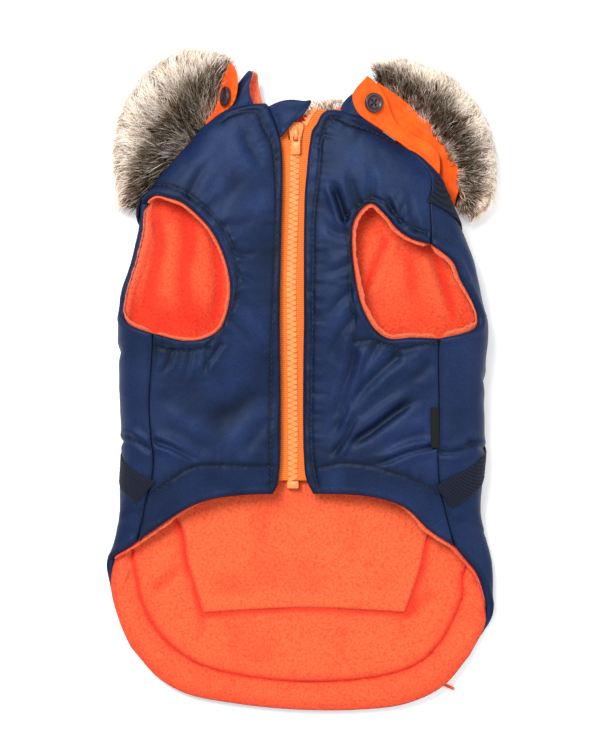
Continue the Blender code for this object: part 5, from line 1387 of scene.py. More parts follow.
def make_fur(name, rows, sign, count, length, wide, lean, reach, under, seed):
    rng = np.random.default_rng(seed)
    line = smooth_line(rows, 1.5)
    share = rng.uniform(0.0, 1.0, count)
    spot = hair_frame(line, share)
    half, high = spot[:, 2], spot[:, 3]
    first = -0.98 - under * np.sin(np.pi * np.clip(share, 0.08, 0.92)) ** 0.4 / np.maximum(half, 3.0)
    span = FUR_OUTER - first
    root = first + span * rng.uniform(0, 1, count) ** 0.9
    # Shorter hairs fill the pile's inner edge.
    inner = rng.uniform(0, 1, count) < INNER_SHARE
    root = np.where(inner, first + (root - first) * 0.30, root)
    # Hairs of one lock share a heading and draw together at their tips.
    across = np.floor((root - first) / span * LOCKS[1] + rng.normal(0, 0.18, count)).astype(int)
    place = np.floor(share * LOCKS[0] + 0.5 * (across % 2) + rng.normal(0, 0.12, count))
    lock = (place.astype(int) * 9 + across) % LOCK_KINDS
    centre = np.clip((place + 0.5 - 0.5 * (across % 2)) / LOCKS[0], 0, 1)
    lock_turn = rng.uniform(-0.42, 0.42, LOCK_KINDS)[lock]
    lock_long = rng.uniform(0.78, 1.18, LOCK_KINDS)[lock]
    lock_tone = rng.uniform(0.26, 1.20, LOCK_KINDS)[lock] ** 1.6
    turn = lean[0] + (lean[1] - lean[0]) * share + lock_turn + rng.normal(0, 0.16, count)
    long = length * lock_long * rng.uniform(0.72, 1.12, count) * (0.45 + 0.55 * np.sin(np.pi * share) ** 0.5)
    long = long * np.where(inner, 0.55, 1.0)
    layer = rng.uniform(0.55, 1.0, count) ** 0.7
    # Some of the outer hairs lie low, and fill the pile's side.
    low = (rng.uniform(0, 1, count) < LOW_SHARE) & ~inner
    root = np.where(low, 0.25 + 0.5 * (root - first) / span, root)
    sunk = np.where(low, rng.uniform(0.06, 0.9, count), 1.0)
    curl = rng.normal(0, 0.22, count) + 0.12 * np.sin(7 * share + 3 * root)
    wild = rng.normal(1.0, 0.055, count) * (1 + 0.05 * (lock_long - 1) / 0.2)
    rings = []
    tints = []
    steps = np.linspace(0, 1, HAIR_STEPS + 1)
    stops = np.array(HAIR_TINTS)
    # The pile is palest at its outer edge, and darkest a fifth of the way out, where the roots show.
    zone = (root - first) / span
    zone = TONE - TONE_ROOTS * bell(zone - 0.20, 0.20) + TONE_EDGE * smoothstep((zone - 0.48) / 0.36)
    bright = rng.uniform(0.60, 2.2, count) * zone * (0.52 + 1.45 * lock_tone)
    dusk = np.minimum(bright, 1.0)    # the dark hairs are browner
    warm = 0.12 * smoothstep((share - 0.72) / 0.25)
    pale = rng.uniform(0, 1, count) < PALE_SHARE
    bright = bright * np.where(pale, PALE_GAIN, 1.0)
    for step in steps:
        spot = hair_frame(line, share + (centre - share) * DRAWN * step)
        head = spot[:, 4:6]
        out = np.stack([-head[:, 1], head[:, 0]], 1) * sign
        bend = turn + curl * step
        run = long * step
        shift = run * np.cos(bend)
        t = root + shift / np.maximum(half, 2.0)
        over = np.maximum(t - reach * wild, 0)
        t = t - over + 0.14 * over
        level = high * pile(t) * (0.55 + 0.45 * step) * (0.72 + 0.30 * layer) * sunk
        level = np.maximum(level + 0.9 * step * rng.normal(0, 1, count) * 0.4, 0.4)
        place = spot[:, :2] + out * (t * half)[:, None] + head * (run * np.sin(bend))[:, None]
        rings.append(np.column_stack([place, level]))
        part = np.clip(step + pale * 0.22 * step, 0, 1)
        tint = np.stack([np.interp(part, stops[:, 0], stops[:, k]) for k in (1, 2, 3)], 1)
        tint = tint * (bright ** (1.45 - 0.45 * step))[:, None]
        tint[:, 1] *= (1 - warm * 0.9) * dusk ** 0.12
        tint[:, 2] *= (1 - warm * 1.3) * dusk ** 0.26
        # The palest hairs keep their warm colour.
        tints.append(np.clip(tint / np.maximum(tint.max(1, keepdims=True), 1.0) ** TINT_CAP, 0, 1.05))
    rings = np.stack(rings, 1)
    tints = np.stack(tints, 1)
    ahead = np.gradient(rings, axis=1)
    ahead /= np.maximum(np.linalg.norm(ahead, axis=2), 1e-6)[..., None]
    twist = rng.uniform(-0.9, 0.9, count)
    up = np.stack([np.sin(twist) * out[:, 0], np.sin(twist) * out[:, 1], np.cos(twist)], 1)
    side = np.cross(ahead, up[:, None, :])
    side /= np.maximum(np.linalg.norm(side, axis=2), 1e-6)[..., None]
    taper = (wide * (1 - steps) ** 0.7 / 2 + 0.03)[None, :, None]
    taper = taper * rng.uniform(0.7, 1.3, count)[:, None, None]
    points = np.stack([rings - side * taper, rings + side * taper], 2)
    base = (np.arange(count) * (HAIR_STEPS + 1) * 2)[:, None]
    quads = []
    for k in range(HAIR_STEPS):
        a = base + 2 * k
        quads.append(np.concatenate([a, a + 1, a + 3, a + 2], 1))
    colour = np.repeat(tints[:, :, None, :], 2, axis=2).reshape(-1, 3)
    colour = np.column_stack([colour, np.ones(len(colour))])
    piece = mesh_piece(f"{name}_pile", points.reshape(-1, 3), [np.concatenate(quads)], HAIR,
                       colour=colour)
    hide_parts(name)
    make_fur_core(name, line, sign, under)


def make_fur_core(name, line, sign, under, sides=20):
    """The dark mass of hair close to the skin, inside the pile."""
    rings = []
    head = hair_frame(line, np.linspace(0, 1, len(line)))
    for k, (x, y, half, high, dx, dy) in enumerate(head):
        ring = []
        for turn in np.arange(sides) * 2 * np.pi / sides:
            across = 0.80 * half * math.cos(turn)
            if across < 0:
                across -= 0.8 * under * (-math.cos(turn)) * math.sin(math.pi * k / (len(head) - 1)) ** 0.5
            low = 0.36 if across >= 0 else 0.17
            ring.append((x - dy * across * sign, y + dx * across * sign,
                         max(0.3, low * high * (1 + 0.98 * math.sin(turn)))))
        rings.append(ring)
    points = np.array(rings)
    wobble = noise(points[..., 0] + points[..., 2], points[..., 1], 5.0, 7)[..., None]
    middle = points.mean(1, keepdims=True)
    points = middle + (points - middle) * (1 + 0.07 * wobble)
    faces = [group[:, ::sign] for group in (ring_quads(len(rings), sides), ring_ends(len(rings), sides))]
    mesh_piece(f"{name}_core", points.reshape(-1, 3), faces, HAIR_CORE)


def hair():
    n = Nodes("hair")
    tint = n.tint()
    browner = n.mix(1.0, tint, (0.74, 0.62, 0.52), "MULTIPLY")
    colour = n.mix(n.value(n.noise(700.0), 0.0, 0.35), tint, browner)
    return n.finish(colour, 0.75, None, Specular_IOR_Level=0.15)


def hair_core():
    n = Nodes("hair core")
    streak = n.noise(700.0, 4.0, 0.7)
    colour = n.ramp(streak, (0.3, (0.010, 0.007, 0.005)), (0.7, (0.055, 0.038, 0.028)))
    return n.finish(colour, 0.9, n.bump(streak, 0.001, 0.8))


HAIR = hair()
HAIR_CORE = hair_core()


# ---------------------------------------------------------------- zip

TAPE_TOP = LINING_TOP + 0.2               # depth of the tape's face
CHAIN_TOP = TAPE_TOP + TAPE_THICK / 2 - CHAIN_THICK / 2
TOOTH_PITCH = 3.0             # distance between the teeth of one side
# Half of a tooth in plan, from its root on the tape to its tip past the middle: (how far along, half width).
TOOTH = ((-2.95, 1.15), (-1.9, 1.34), (-1.0, 1.20), (0.1, 0.74), (1.0, 0.36), (1.3, 0.22))


TAPE_RIB = 1.1                # distance between the ribs of the tape
TAPE_CORD = 0.22              # how high the corded edge stands
OPEN_PITCH = 2.35             # distance between the free teeth, which bend away


def zip_middle(y):
    """Height of the cloth's outer face over the zip, at y."""
    return BODY.point(np.full(np.shape(y), 4.0), np.asarray(y, float))[..., 2]


def zip_x(y):
    rows = np.array(sorted(ZIP_LINE))
    return np.interp(y, rows[:, 0], rows[:, 1])


def edge_x(side, y):
    rows = np.array(sorted(FRONT_EDGE[side], key=lambda p: p[1]))
    return np.interp(y, rows[:, 1], rows[:, 0])


# Above the slider the left tape's toothed edge swings away under the throat flap.
OPEN_EDGE = smooth_line(((2.6, 145.4), (4.0, 148.6), (6.4, 152.4), (8.4, 154.8)), 1.0)


def open_teeth():
    """Places of the free teeth: (x, y, way that the tooth points)."""
    run = np.concatenate([[0], np.cumsum(np.hypot(*np.diff(OPEN_EDGE, axis=0).T))])
    for far in np.arange(1.0, run[-1] - 0.4, OPEN_PITCH):
        x, y = (np.interp(far, run, OPEN_EDGE[:, k]) for k in (0, 1))
        ahead = [np.interp(far + 0.5, run, OPEN_EDGE[:, k]) - (x, y)[k] for k in (0, 1)]
        yield x - 0.9, y + 0.5, math.atan2(ahead[0], ahead[1])


def make_teeth():
    low, high = STOP_Y[1] + 2 * CLEAR, SLIDER_Y[0] - CLEAR
    profile = np.array([(a, b) for a, b in TOOTH] + [(a, -b) for a, b in reversed(TOOTH)])
    rounded = ((0.0, 0.18), (0.30, 0.0), (CHAIN_THICK - 0.55, 0.0), (CHAIN_THICK - 0.15, 0.14),
               (CHAIN_THICK, 0.34))
    count = len(profile)
    middle = profile.mean(0)
    points, quads, ends = [], [], []
    # The two sides' teeth stand half a pitch apart, and so mesh.
    places = [(side, y) for side, first in ((-1, low + 0.8), (1, low + (0.8 + TOOTH_PITCH / 2)))
              for y in np.arange(first, high - 0.6, TOOTH_PITCH)]
    rows = [(side, float(zip_x(y)), y, 0.0) for side, y in places]
    rows += [(1, x, y, turn) for x, y, turn in open_teeth()]
    for side, x, y, turn in rows:
        z = float(zip_middle(y)) - CHAIN_TOP - CHAIN_THICK
        start = len(points)
        for rise, draw in rounded:
            shape = profile + (middle - profile) * (draw / 1.6)
            for a, b in shape:
                across = -side * a * math.cos(turn) + b * math.sin(turn)
                along = b * math.cos(turn) + side * a * math.sin(turn)
                points.append((x + across, y + along, z + rise))
        quads.append(start + ring_quads(len(rounded), count)[:, ::side])
        ends.append(start + ring_ends(len(rounded), count)[::-1, ::side])
    faces = [np.concatenate(quads), np.concatenate(ends)]
    piece = mesh_piece("zip_teeth", points, faces, RESIN, smooth=False)
    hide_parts("zip_chain")


def make_tapes():
    """Knitted tape on each side of the teeth, ribbed along, with a corded edge that the teeth grip."""
    for side, word in ((-1, "right"), (1, "left")):
        node = f"zip_tape_{word}"
        levels = np.arange(STOP_Y[1] + 2 * CLEAR, SLIDER_Y[1] if side < 0 else TAPE_BEND[-1][2], 0.9)
        at_slider = smoothstep((levels - SLIDER_Y[0] + 1.0) / 1.5)
        near = 0.15 + (SLIDER_WING - 0.6 - 0.15) * at_slider
        inner = zip_x(levels) + side * near
        outer = edge_x(side, levels) + side * (TAPE_HIDDEN - TAPE_SHORT)
        if side > 0:
            bend = np.array(TAPE_BEND)
            turned = smoothstep((levels - SLIDER_Y[1] + 2.0) / 3.0)
            open_x = np.interp(levels, OPEN_EDGE[:, 1], OPEN_EDGE[:, 0])
            inner = inner + (open_x - inner) * turned
            outer = outer + (np.interp(levels, bend[:, 2], bend[:, 1]) - outer) * turned
        share = np.linspace(0, 1, 25)
        x = inner[:, None] + (outer - inner)[:, None] * share[None]
        gap = np.abs(x - inner[:, None])
        z = (zip_middle(levels) - TAPE_TOP)[:, None] + TAPE_CORD * bell(gap - 0.7, 0.5)
        z = z + 0.05 * np.cos(gap * 2 * np.pi / TAPE_RIB) + 0.10 * noise(x, levels[:, None] + 0 * x, 9.0, 3)
        y = np.repeat(levels[:, None], len(share), 1)
        edges = [np.stack([edge, levels], 1) for edge in (inner, outer)]
        note_cut(np.concatenate([edges[0], edges[1][::-1]]))
        top = np.stack([x, y, z], -1).reshape(-1, 3)
        faces = grid_faces(len(levels), len(share), side < 0)
        points = np.concatenate([top, top - (0, 0, TAPE_THICK * 0.8)])
        piece = mesh_piece(f"{node}_knit", points, faces, ZIP_TAPE)
        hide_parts(node)


def moulded(name, outline, levels, body="vest", hole=None):
    """A piece of the zip's resin: its outline drawn in or out at each level, as (height, how far in).
    It is closed at both ends, or runs round a hole."""
    outline = np.array(outline)
    if area(outline) < 0:
        outline = outline[::-1]
    count = len(outline)
    rings = [np.column_stack([inset(outline, draw), np.full(count, z)]) for z, draw in levels]
    if hole is not None:
        hole = np.array(hole)
        if area(hole) < 0:
            hole = hole[::-1]
        back = [np.column_stack([inset(hole, -draw), np.full(count, z)]) for z, draw in reversed(levels)]
        rings += back + rings[:1]
    quads = ring_quads(len(rings), count)
    ends = ring_ends(len(rings), count)
    if hole is not None:
        # The last ring is the first one again.
        rings.pop()
        quads = quads % (len(rings) * count)
        ends = []
    return mesh_piece(name, np.concatenate(rings), [quads, ends], RESIN, body)


def rounded_box(low, high, radius, count=40):
    """A box's outline in plan with round corners, as a closed row of points."""
    turn = (np.arange(count) + 0.5) * 2 * np.pi / count
    middle = (np.array(low) + np.array(high)) / 2
    half = (np.array(high) - np.array(low)) / 2 - radius
    way = np.stack([np.cos(turn), np.sin(turn)], 1)
    return middle + np.sign(way) * half + way * radius


def make_slider_and_pull():
    chain_z = float(zip_middle(SLIDER_Y[0])) - CHAIN_TOP
    top = chain_z + SLIDER_OVER
    bottom = chain_z - CHAIN_THICK - SLIDER_OVER
    low_y, high_y = SLIDER_Y
    x = float(zip_x(high_y))
    half = ((SLIDER_NOSE, 0.0), (SLIDER_NOSE + 0.1, 0.25), (SLIDER_NOSE + 0.5, 0.45), (SLIDER_WING, 0.75),
            (SLIDER_WING - 0.4, 0.93), (SLIDER_WING - 1.8, 1.0))
    right = np.array([(wide, low_y + share * (high_y - low_y)) for wide, share in half])
    right = smooth_line(right, 0.7)
    body = np.concatenate([right, right[::-1] * (-1, 1)]) + (x, 0)
    moulded("zip_slider_top", body, ((top - 1.3, 0.3), (top - 1.1, 0.0), (top - 0.35, 0.0), (top, 0.45)))
    moulded("zip_slider_foot", body, ((bottom, 0.3), (bottom + 0.3, 0.0), (bottom + 1.1, 0.0)))
    core = rounded_box((x - 1.2, high_y - 4.6), (x + 1.2, high_y - 0.6), 1.1, 24)
    moulded("zip_slider_post", core, ((bottom + 0.8, 0.0), (top - 0.8, 0.0)))
    # The bridge arches along the slider, its foot on each side of the pull's crossbar.
    post_y = PIVOT_Y - CROSSBAR / 2 - CLEAR - BRIDGE_POST
    bridge_y = high_y - BRIDGE_END
    arch = []
    for turn in np.linspace(0, np.pi, 17):
        y = (post_y + bridge_y) / 2 - math.cos(turn) * (bridge_y - post_y) / 2
        arch.append((y, top - 0.3 + (BRIDGE_HIGH + 0.3) * math.sin(turn) ** 0.55))
    piece = bridge_piece(x, np.array(arch))
    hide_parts("zip_slider")

    level = top + PULL_PLAY
    half = PULL_WIDE / 2
    outer = rounded_box((x - half, PULL_END), (x + half, PIVOT_Y + CROSSBAR / 2), 1.3, 48)
    eye_half = BRIDGE_WIDE / 2 + PULL_PLAY
    eye_top = PIVOT_Y - CROSSBAR / 2
    eye = rounded_box((x - eye_half, eye_top - PULL_EYE), (x + eye_half, eye_top), 0.6, 48)
    face = level + PULL_THICK
    levels = ((level, 0.25), (level + 0.25, 0.0), (face - 0.35, 0.0), (face, 0.35))
    # The pull is a frame round its eye, filled below it by a shallow panel.
    piece = moulded("zip_pull_frame", outer, levels, "pull_tab", hole=eye)
    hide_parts("zip_pull")
    panel = rounded_box((x - half + 0.9, PULL_END + 0.9), (x + half - 0.9, eye_top - PULL_EYE - 0.6), 0.6, 32)
    raised = ((face - 0.5, 0.0), (face + 0.05, 0.0), (face + 0.2, 0.3))
    moulded("zip_pull_face", panel, raised, "pull_tab")

    stop_x = float(zip_x(STOP_Y[0]))
    z = float(zip_middle(STOP_Y[0])) - CHAIN_TOP + CLEAR
    half = STOP_WIDE / 2
    block = rounded_box((stop_x - half, STOP_Y[0]), (stop_x + half, STOP_Y[1] + CLEAR), 0.9, 32)
    levels = ((z - STOP_THICK, 0.3), (z - STOP_THICK + 0.4, 0.0), (z - 0.5, 0.0), (z, 0.5))
    piece = moulded("zip_stop_block", block, levels)
    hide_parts("zip_stop")


def bridge_piece(x, arch, sides=10):
    """The slider's crown: a flattened bar along an arch."""
    ahead = headings(arch)
    rings = []
    for (y, z), (dy, dz) in zip(arch, ahead):
        for turn in np.arange(sides) * 2 * np.pi / sides:
            across, out = math.cos(turn), math.sin(turn)
            across = math.copysign(abs(across) ** 0.6, across) * BRIDGE_WIDE / 2
            out = math.copysign(abs(out) ** 0.6, out) * BRIDGE_BAR / 2
            rings.append((x + across, y - dz * out, z - BRIDGE_BAR / 2 + dy * out))
    quads = ring_quads(len(arch), sides)[:, (0, 3, 2, 1)]
    ends = ring_ends(len(arch), sides)[:, ::-1]
    return mesh_piece("zip_slider_crown", rings, [quads, ends], RESIN)


# ---------------------------------------------------------------- throat flap, hood, buttons

def draped_piece(name, node, corners, thick, spacing, relief, material):
    """A loose piece of cloth in plan, its height spread between the heights of its corners."""
    corners = np.array(corners, float)
    line = smooth_line(np.concatenate([corners, corners[:1]]), 4.0)[:-1]
    fine = smooth_line(np.concatenate([corners, corners[:1]]), spacing)[:-1, :2]
    flat, far, triangles = fill(fine, spacing)
    gap = flat[:, None, :] - line[None, :, :2]
    weight = 1 / (np.sum(gap * gap, 2) + 0.01) ** 1.5
    height = weight @ line[:, 2] / weight.sum(1)
    fall = rolled(far, 0.48 * thick)
    rise = relief(flat, far) * smoothstep(far / 1.5)
    outer = np.column_stack([flat, height - fall + rise])
    inner = np.column_stack([flat, height - thick + np.minimum(fall, 0.45 * thick)])
    # It lies on a slope, so its cut is larger than it looks from above.
    a, b, c = (outer[triangles[:, k]] for k in range(3))
    sloped = 0.5 * float(np.sum(np.linalg.norm(np.cross(b - a, c - a), axis=1)))
    note_cut(fine * math.sqrt(sloped / abs(area(fine))))
    piece = cloth_piece(name, outer, inner, triangles, material, grey(np.ones(2 * len(flat))))
    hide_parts(node)


# The flap comes out from under the front's edge.
GUARD_SEEN = ((-20.0, 154.6, 23.4), (-11.8, 158.3, 25.6), (-4.8, 159.4, 26.0), (2.2, 158.7, 26.0),
              (6.3, 158.9, 25.6), (5.0, 155.0, 25.8), (1.2, 150.0, 26.2), (-3.9, 145.8, 26.2),
              (-7.4, 142.0, 26.0), (-10.8, 138.0, 25.2), (-13.4, 139.8, 24.0), (-17.0, 146.0, 23.2))
# The band's lower edge follows the front's, and the lining runs down behind the shoulder.
BAND_TURNED = tuple((x + 1.6, y - 1.0, z) for x, y, z in BAND_RIGHT)
BAND_SEEN = BAND_LEFT[:2] + tuple((x - 1.2, y - 2.0, z - 0.6) for x, y, z in BAND_LEFT[2:8]) + BAND_LEFT[8:]
LINING_SEEN = HOOD_LINING_LEFT[:10] + ((88.8, 101.6, 9.4), (88.2, 96.6, 8.4), (85.4, 98.0, 8.2)) \
    + tuple((x - 1.6, y - 1.6, z) for x, y, z in HOOD_LINING_LEFT[12:15]) + HOOD_LINING_LEFT[15:]
BAND_FOLDS = (
    (((47.0, 158.0), (52.0, 150.0), (60.0, 142.5)), 1.6, 1.1, 0.6, 0.4, 0.2, 0.4),
    (((44.0, 152.0), (54.0, 143.5), (66.0, 136.0), (76.0, 131.0)), 1.3, 0.6, 0.4, -0.5, 0.3, 0.3),
    (((37.5, 168.0), (41.5, 163.5), (47.0, 156.0)), 1.6, 0.5, 0.3, 0.0, 0.2, 0.3),
)
LINING_FOLDS = (
    (((52.0, 160.0), (62.0, 152.5), (70.0, 144.5), (76.0, 138.0)), 2.4, 1.1, 1.0, 0.5, 0.3, 0.3),
    (((56.0, 150.0), (64.0, 147.0), (72.0, 140.0)), 1.6, 1.0, 0.6, 0.0, 0.2, 0.2),
    (((84.0, 132.0), (85.5, 122.0), (86.5, 108.0)), 2.2, 1.2, 0.8, -0.4, 0.2, 0.2),
    (((79.0, 140.0), (84.0, 136.0), (88.0, 128.0)), 1.6, 0.7, 0.5, 0.0, 0.3, 0.3),
)


def hood_relief(folds, seed, wave=0.3):
    def relief(flat, far):
        rise = ripples(flat, (wave, 9.0, seed), (0.1, 3.5, seed + 1)) + folds_of(flat, folds)
        # A row of stitches runs 2 mm inside the edge.
        return rise - 0.35 * bell(far - 2.0, 0.6)
    return relief


def make_hood():
    draped_piece("hood_band_left_cloth", "hood_band_left", BAND_SEEN, BAND_THICK, 0.9,
                 hood_relief(BAND_FOLDS, 101), ORANGE_CLOTH)
    draped_piece("hood_band_right_cloth", "hood_band_right", BAND_TURNED, BAND_RIGHT_THICK, 0.7,
                 hood_relief((), 104, 0.2), ORANGE_CLOTH)
    draped_piece("hood_lining_cloth", "hood_lining_left", LINING_SEEN, BAND_THICK, 0.9,
                 hood_relief(LINING_FOLDS, 107), ORANGE_CLOTH)
    flap_stitch = smooth_line(((4.6, 156.6), (-0.6, 150.2), (-6.0, 145.2), (-10.0, 141.6)), 1.5)

    def flap(flat, far):
        rise = ripples(flat, (0.35, 8.0, 110), (0.10, 3.0, 111))
        return rise + channel(flat, flap_stitch, 0.5, 0.7, 0.2, seed=112)
    draped_piece("zip_guard_flap", "zip_guard", GUARD_SEEN, GUARD_THICK, 0.8, flap, NYLON)
    make_hood_shell()


HOOD_FOLDS = (
    (((-60.0, 118.0), (-30.0, 96.0), (0.0, 90.0)), 4.0, 1.0, 0.3, 0.3, 0.2, 0.4),
    (((70.0, 112.0), (40.0, 92.0), (10.0, 84.0)), 4.0, 1.0, 0.3, 0.3, 0.2, 0.4),
    (((-40.0, 60.0), (0.0, 66.0), (44.0, 60.0)), 3.0, 0.9, 0.3, 0.0, 0.3, 0.3),
    (((0.0, 128.0), (3.0, 100.0), (-2.0, 74.0)), 1.6, 0.9, 0.4, 0.0, 0.1, 0.3),
)


def make_hood_shell():
    """The hood, folded flat under the shoulders: a soft pad of layers, creased where the cloth doubles."""
    closed = tuple(HOOD_SHELL_EDGE) + (HOOD_SHELL_EDGE[0],)
    outline = smooth_line(closed, 2.5)[:-1]
    note_cut(outline)
    flat, far, triangles = fill(outline, 2.6)
    soft = 3.0
    fall = rolled(far, soft)
    rise = ripples(flat, (0.3, 20.0, 121), (0.15, 8.0, 122))
    rise = folds_of(flat, HOOD_FOLDS, rise)
    outer = np.column_stack([flat, HOOD_SHELL_TOP - fall + np.minimum(rise, 0.4) * smoothstep(far / 4.0)])
    inner = np.column_stack([flat, np.minimum(fall, 0.9 * soft) * 0.8])
    inner[:, 2] -= np.minimum(rise, 0.0) * smoothstep(far / 4.0) * 0.8
    piece = cloth_piece("hood_nylon", outer, inner, triangles, NYLON,
                        grey(np.ones(2 * len(flat))))
    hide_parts("hood_shell")


def lathe(profile, steps):
    """Points and faces of a turned form, from rows of (radius, height) that start and end on the axis."""
    inner = profile[1:-1]
    turn = np.arange(steps) * 2 * np.pi / steps
    points = [(0.0, 0.0, profile[0][1])]
    for r, z in inner:
        points += [(r * math.cos(a), r * math.sin(a), z) for a in turn]
    points.append((0.0, 0.0, profile[-1][1]))
    quads = 1 + ring_quads(len(inner), steps)[:, (0, 3, 2, 1)]
    last = len(points) - 1
    tris = [(0, 1 + i, 1 + (i + 1) % steps) for i in range(steps)]
    start = 1 + (len(inner) - 1) * steps
    tris += [(last, start + (i + 1) % steps, start + i) for i in range(steps)]
    return np.array(points), [quads, np.array(tris)]


def placed(points, at, normal):
    up = Vector(normal).normalized()
    turn = np.array(up.to_track_quat("Z", "Y").to_matrix())
    return np.asarray(points) @ turn.T + np.array(at)


def make_button(name, at, normal):
    """A turned button with a raised rim, four holes round its middle and crossed thread."""
    r, t = BUTTON_D / 2, BUTTON_THICK
    floor = t - BUTTON_DISH
    profile = ((0, floor), (0.5, floor), (1.1, floor + 0.02), (r - 2.6, floor + 0.05),
               (r - 2.1, floor + 0.25), (r - 1.7, t - 0.18), (r - 1.3, t - 0.02), (r - 0.8, t),
               (r - 0.35, t - 0.14), (r - 0.08, t - 0.5),
               (r, t * 0.55), (r - 0.15, t * 0.35), (r - 0.6, 0.3), (r - 1.6, 0.0), (0, 0))
    points, faces = lathe(profile, 56)
    disc = mesh_piece(f"{name}_disc", placed(points, at, normal), faces, BUTTON_RESIN)
    drill = []
    for k in range(4):
        angle = math.pi / 4 + k * math.pi / 2
        drill.append((math.cos(angle) * BUTTON_PITCH, math.sin(angle) * BUTTON_PITCH))
    cut_holes(disc, drill, at, normal)
    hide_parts(name)
    # Thread: two strands cross between opposite holes and dip into them.
    rings, faces = [], []
    for first, second, lift in ((0, 2, 0.55), (1, 3, 0.85)):
        start, end = np.array(drill[first]), np.array(drill[second])
        for offset in (-0.24, 0.24):
            across = np.array([-(end - start)[1], (end - start)[0]])
            across = across / np.linalg.norm(across) * offset
            path = []
            for share in np.linspace(0, 1, 13):
                rise = -0.9 + (0.9 + lift) * math.sin(np.pi * share) ** 0.35
                path.append((*(start + (end - start) * share + across), floor + rise * 0.75))
            tube_points, tube_faces = tube(np.array(path), 0.2, 6)
            faces.append(tube_faces + sum(len(ring) for ring in rings))
            rings.append(tube_points)
    thread = np.concatenate(rings)
    mesh_piece(f"{name}_thread", placed(thread, at, normal), [np.concatenate(faces)[:, ::-1]], BUTTON_THREAD)


def tube(path, radius, sides):
    """A round thread along a path: its points and its quads."""
    ahead = headings(path)
    up = np.where(np.abs(ahead[:, 2:]) > 0.9, (0.0, 1.0, 0.0), (0.0, 0.0, 1.0))
    side = np.cross(ahead, up)
    side /= np.linalg.norm(side, axis=1)[:, None]
    top = np.cross(side, ahead)
    turn = np.arange(sides) * 2 * np.pi / sides
    ring = side[:, None] * np.cos(turn)[None, :, None] + top[:, None] * np.sin(turn)[None, :, None]
    radii = np.broadcast_to(np.asarray(radius, float), len(path))
    points = (path[:, None] + ring * radii[:, None, None]).reshape(-1, 3)
    return points, ring_quads(len(path), sides)


def cut_holes(obj, spots, at, normal):
    """Drills the button through at each spot."""
    points, faces = [], []
    turn = np.arange(HOLE_SIDES) * 2 * np.pi / HOLE_SIDES
    for x, y in spots:
        start = len(points)
        for z in (-1.0, BUTTON_THICK + 1.0):
            points += [(x + BUTTON_HOLE * math.cos(a), y + BUTTON_HOLE * math.sin(a), z) for a in turn]
        for group in (ring_quads(2, HOLE_SIDES), ring_ends(2, HOLE_SIDES)):
            faces += (start + group).tolist()
    mesh = bpy.data.meshes.new("drill")
    mesh.from_pydata([tuple(p) for p in placed(points, at, normal) * MM], [], faces)
    drill = added("drill", mesh)
    cut = obj.modifiers.new("holes", "BOOLEAN")
    cut.object = drill
    cut.operation = "DIFFERENCE"
    cut.solver = "EXACT"
    bpy.context.view_layer.update()
    made = bpy.data.meshes.new_from_object(obj.evaluated_get(bpy.context.evaluated_depsgraph_get()))
    obj.modifiers.clear()
    obj.data = made
    bpy.data.objects.remove(drill, do_unlink=True)


BUTTON_THREAD = resin("button thread", (0.012, 0.008, 0.012), (0.040, 0.026, 0.036), 0.6, 900.0)


HOLE_SIDES = 16
BUTTON_TURNED = ((-41.4, 161.0, 23.6), (-0.92, 0.10, 0.38))       # seen nearly edge-on


def make_buttons():
    for name, seat in BUTTONS.items():
        make_button(name, *(BUTTON_TURNED if name == "button_right" else seat))


# ---------------------------------------------------------------- straps, label, cord, stitches

def strap_rows(start, end):
    """A strap's middle line on the unrolled cloth, in points 1.2 mm apart, stopping 0.7 mm short of each end.
    """
    line = [start]
    reach = np.linalg.norm(end - start)
    ahead = (end - start) / reach
    run = 0.7
    while run < reach - 0.7:
        line.append(start + ahead * run)
        run += 1.2
    return np.array(line[1:] + [end - ahead * 0.7])


def strap_piece(name, node, line, depth, wide, thick, material, columns=25):
    """Webbing along a line on the cloth: a rounded selvedge, and fine ribs along it."""
    ahead = headings(line)
    across = np.stack([-ahead[:, 1], ahead[:, 0]], 1)
    share = np.linspace(-0.5, 0.5, columns)
    reach = float(np.sum(steps_of(line)))
    note_cut(((0, 0), (wide, 0), (wide, reach), (0, reach)))
    q = line[:, None] + across[:, None] * (share * wide)[None, :, None]
    ribs = 0.10 * np.cos(share * wide * 2 * np.pi / 1.9) - 0.5 * thick * (np.abs(share) / 0.5) ** 10
    run = np.arange(len(line))
    picks = 0.05 * np.cos(run * 2 * np.pi / 2)
    rise = ribs[None] + picks[:, None]
    depth = np.broadcast_to(np.asarray(depth, float), len(line))[:, None]
    flat = q.reshape(-1, 2)
    v = gather(flat[:, 0])
    outer = BODY.point(v, flat[:, 1], (depth - rise).ravel())
    inner = BODY.point(v, flat[:, 1], np.repeat(depth + thick, columns))
    faces = grid_faces(len(line), columns, True)
    piece = mesh_piece(name, np.concatenate([outer, inner]), faces, material)
    outwards(piece)
    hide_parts(node)


def outwards(obj):
    """Turns the piece's faces outwards."""
    shape = bmesh.new()
    shape.from_mesh(obj.data)
    bmesh.ops.recalc_face_normals(shape, faces=shape.faces)
    shape.to_mesh(obj.data)
    shape.free()


def make_straps():
    ends = np.array(unrolled(BODY, STRAP_A + STRAP_B))
    start, end = ends[:2]
    other = ends[2:]
    outside = -(STRAP_GAP + WEBBING_THICK)
    strap_piece("strap_b_webbing", "strap_b", strap_rows(*other), outside, WEBBING, WEBBING_THICK,
                WEBBING_CLOTH)
    line = strap_rows(start, end)
    slope_a = (end - start)[1] / (end - start)[0]
    slope_b = (other[1] - other[0])[1] / (other[1] - other[0])[0]
    cross_q = (other[0][1] - start[1] + slope_a * start[0] - slope_b * other[0][0]) / (slope_a - slope_b)
    hump = 1 - smoothstep((np.abs(line[:, 0] - cross_q) - HUMP_HALF) / HUMP_SLOPE)
    depth = outside - hump * (WEBBING_THICK + CLEAR)
    strap_piece("strap_a_webbing", "strap_a", line, depth, WEBBING, WEBBING_THICK, WEBBING_CLOTH)


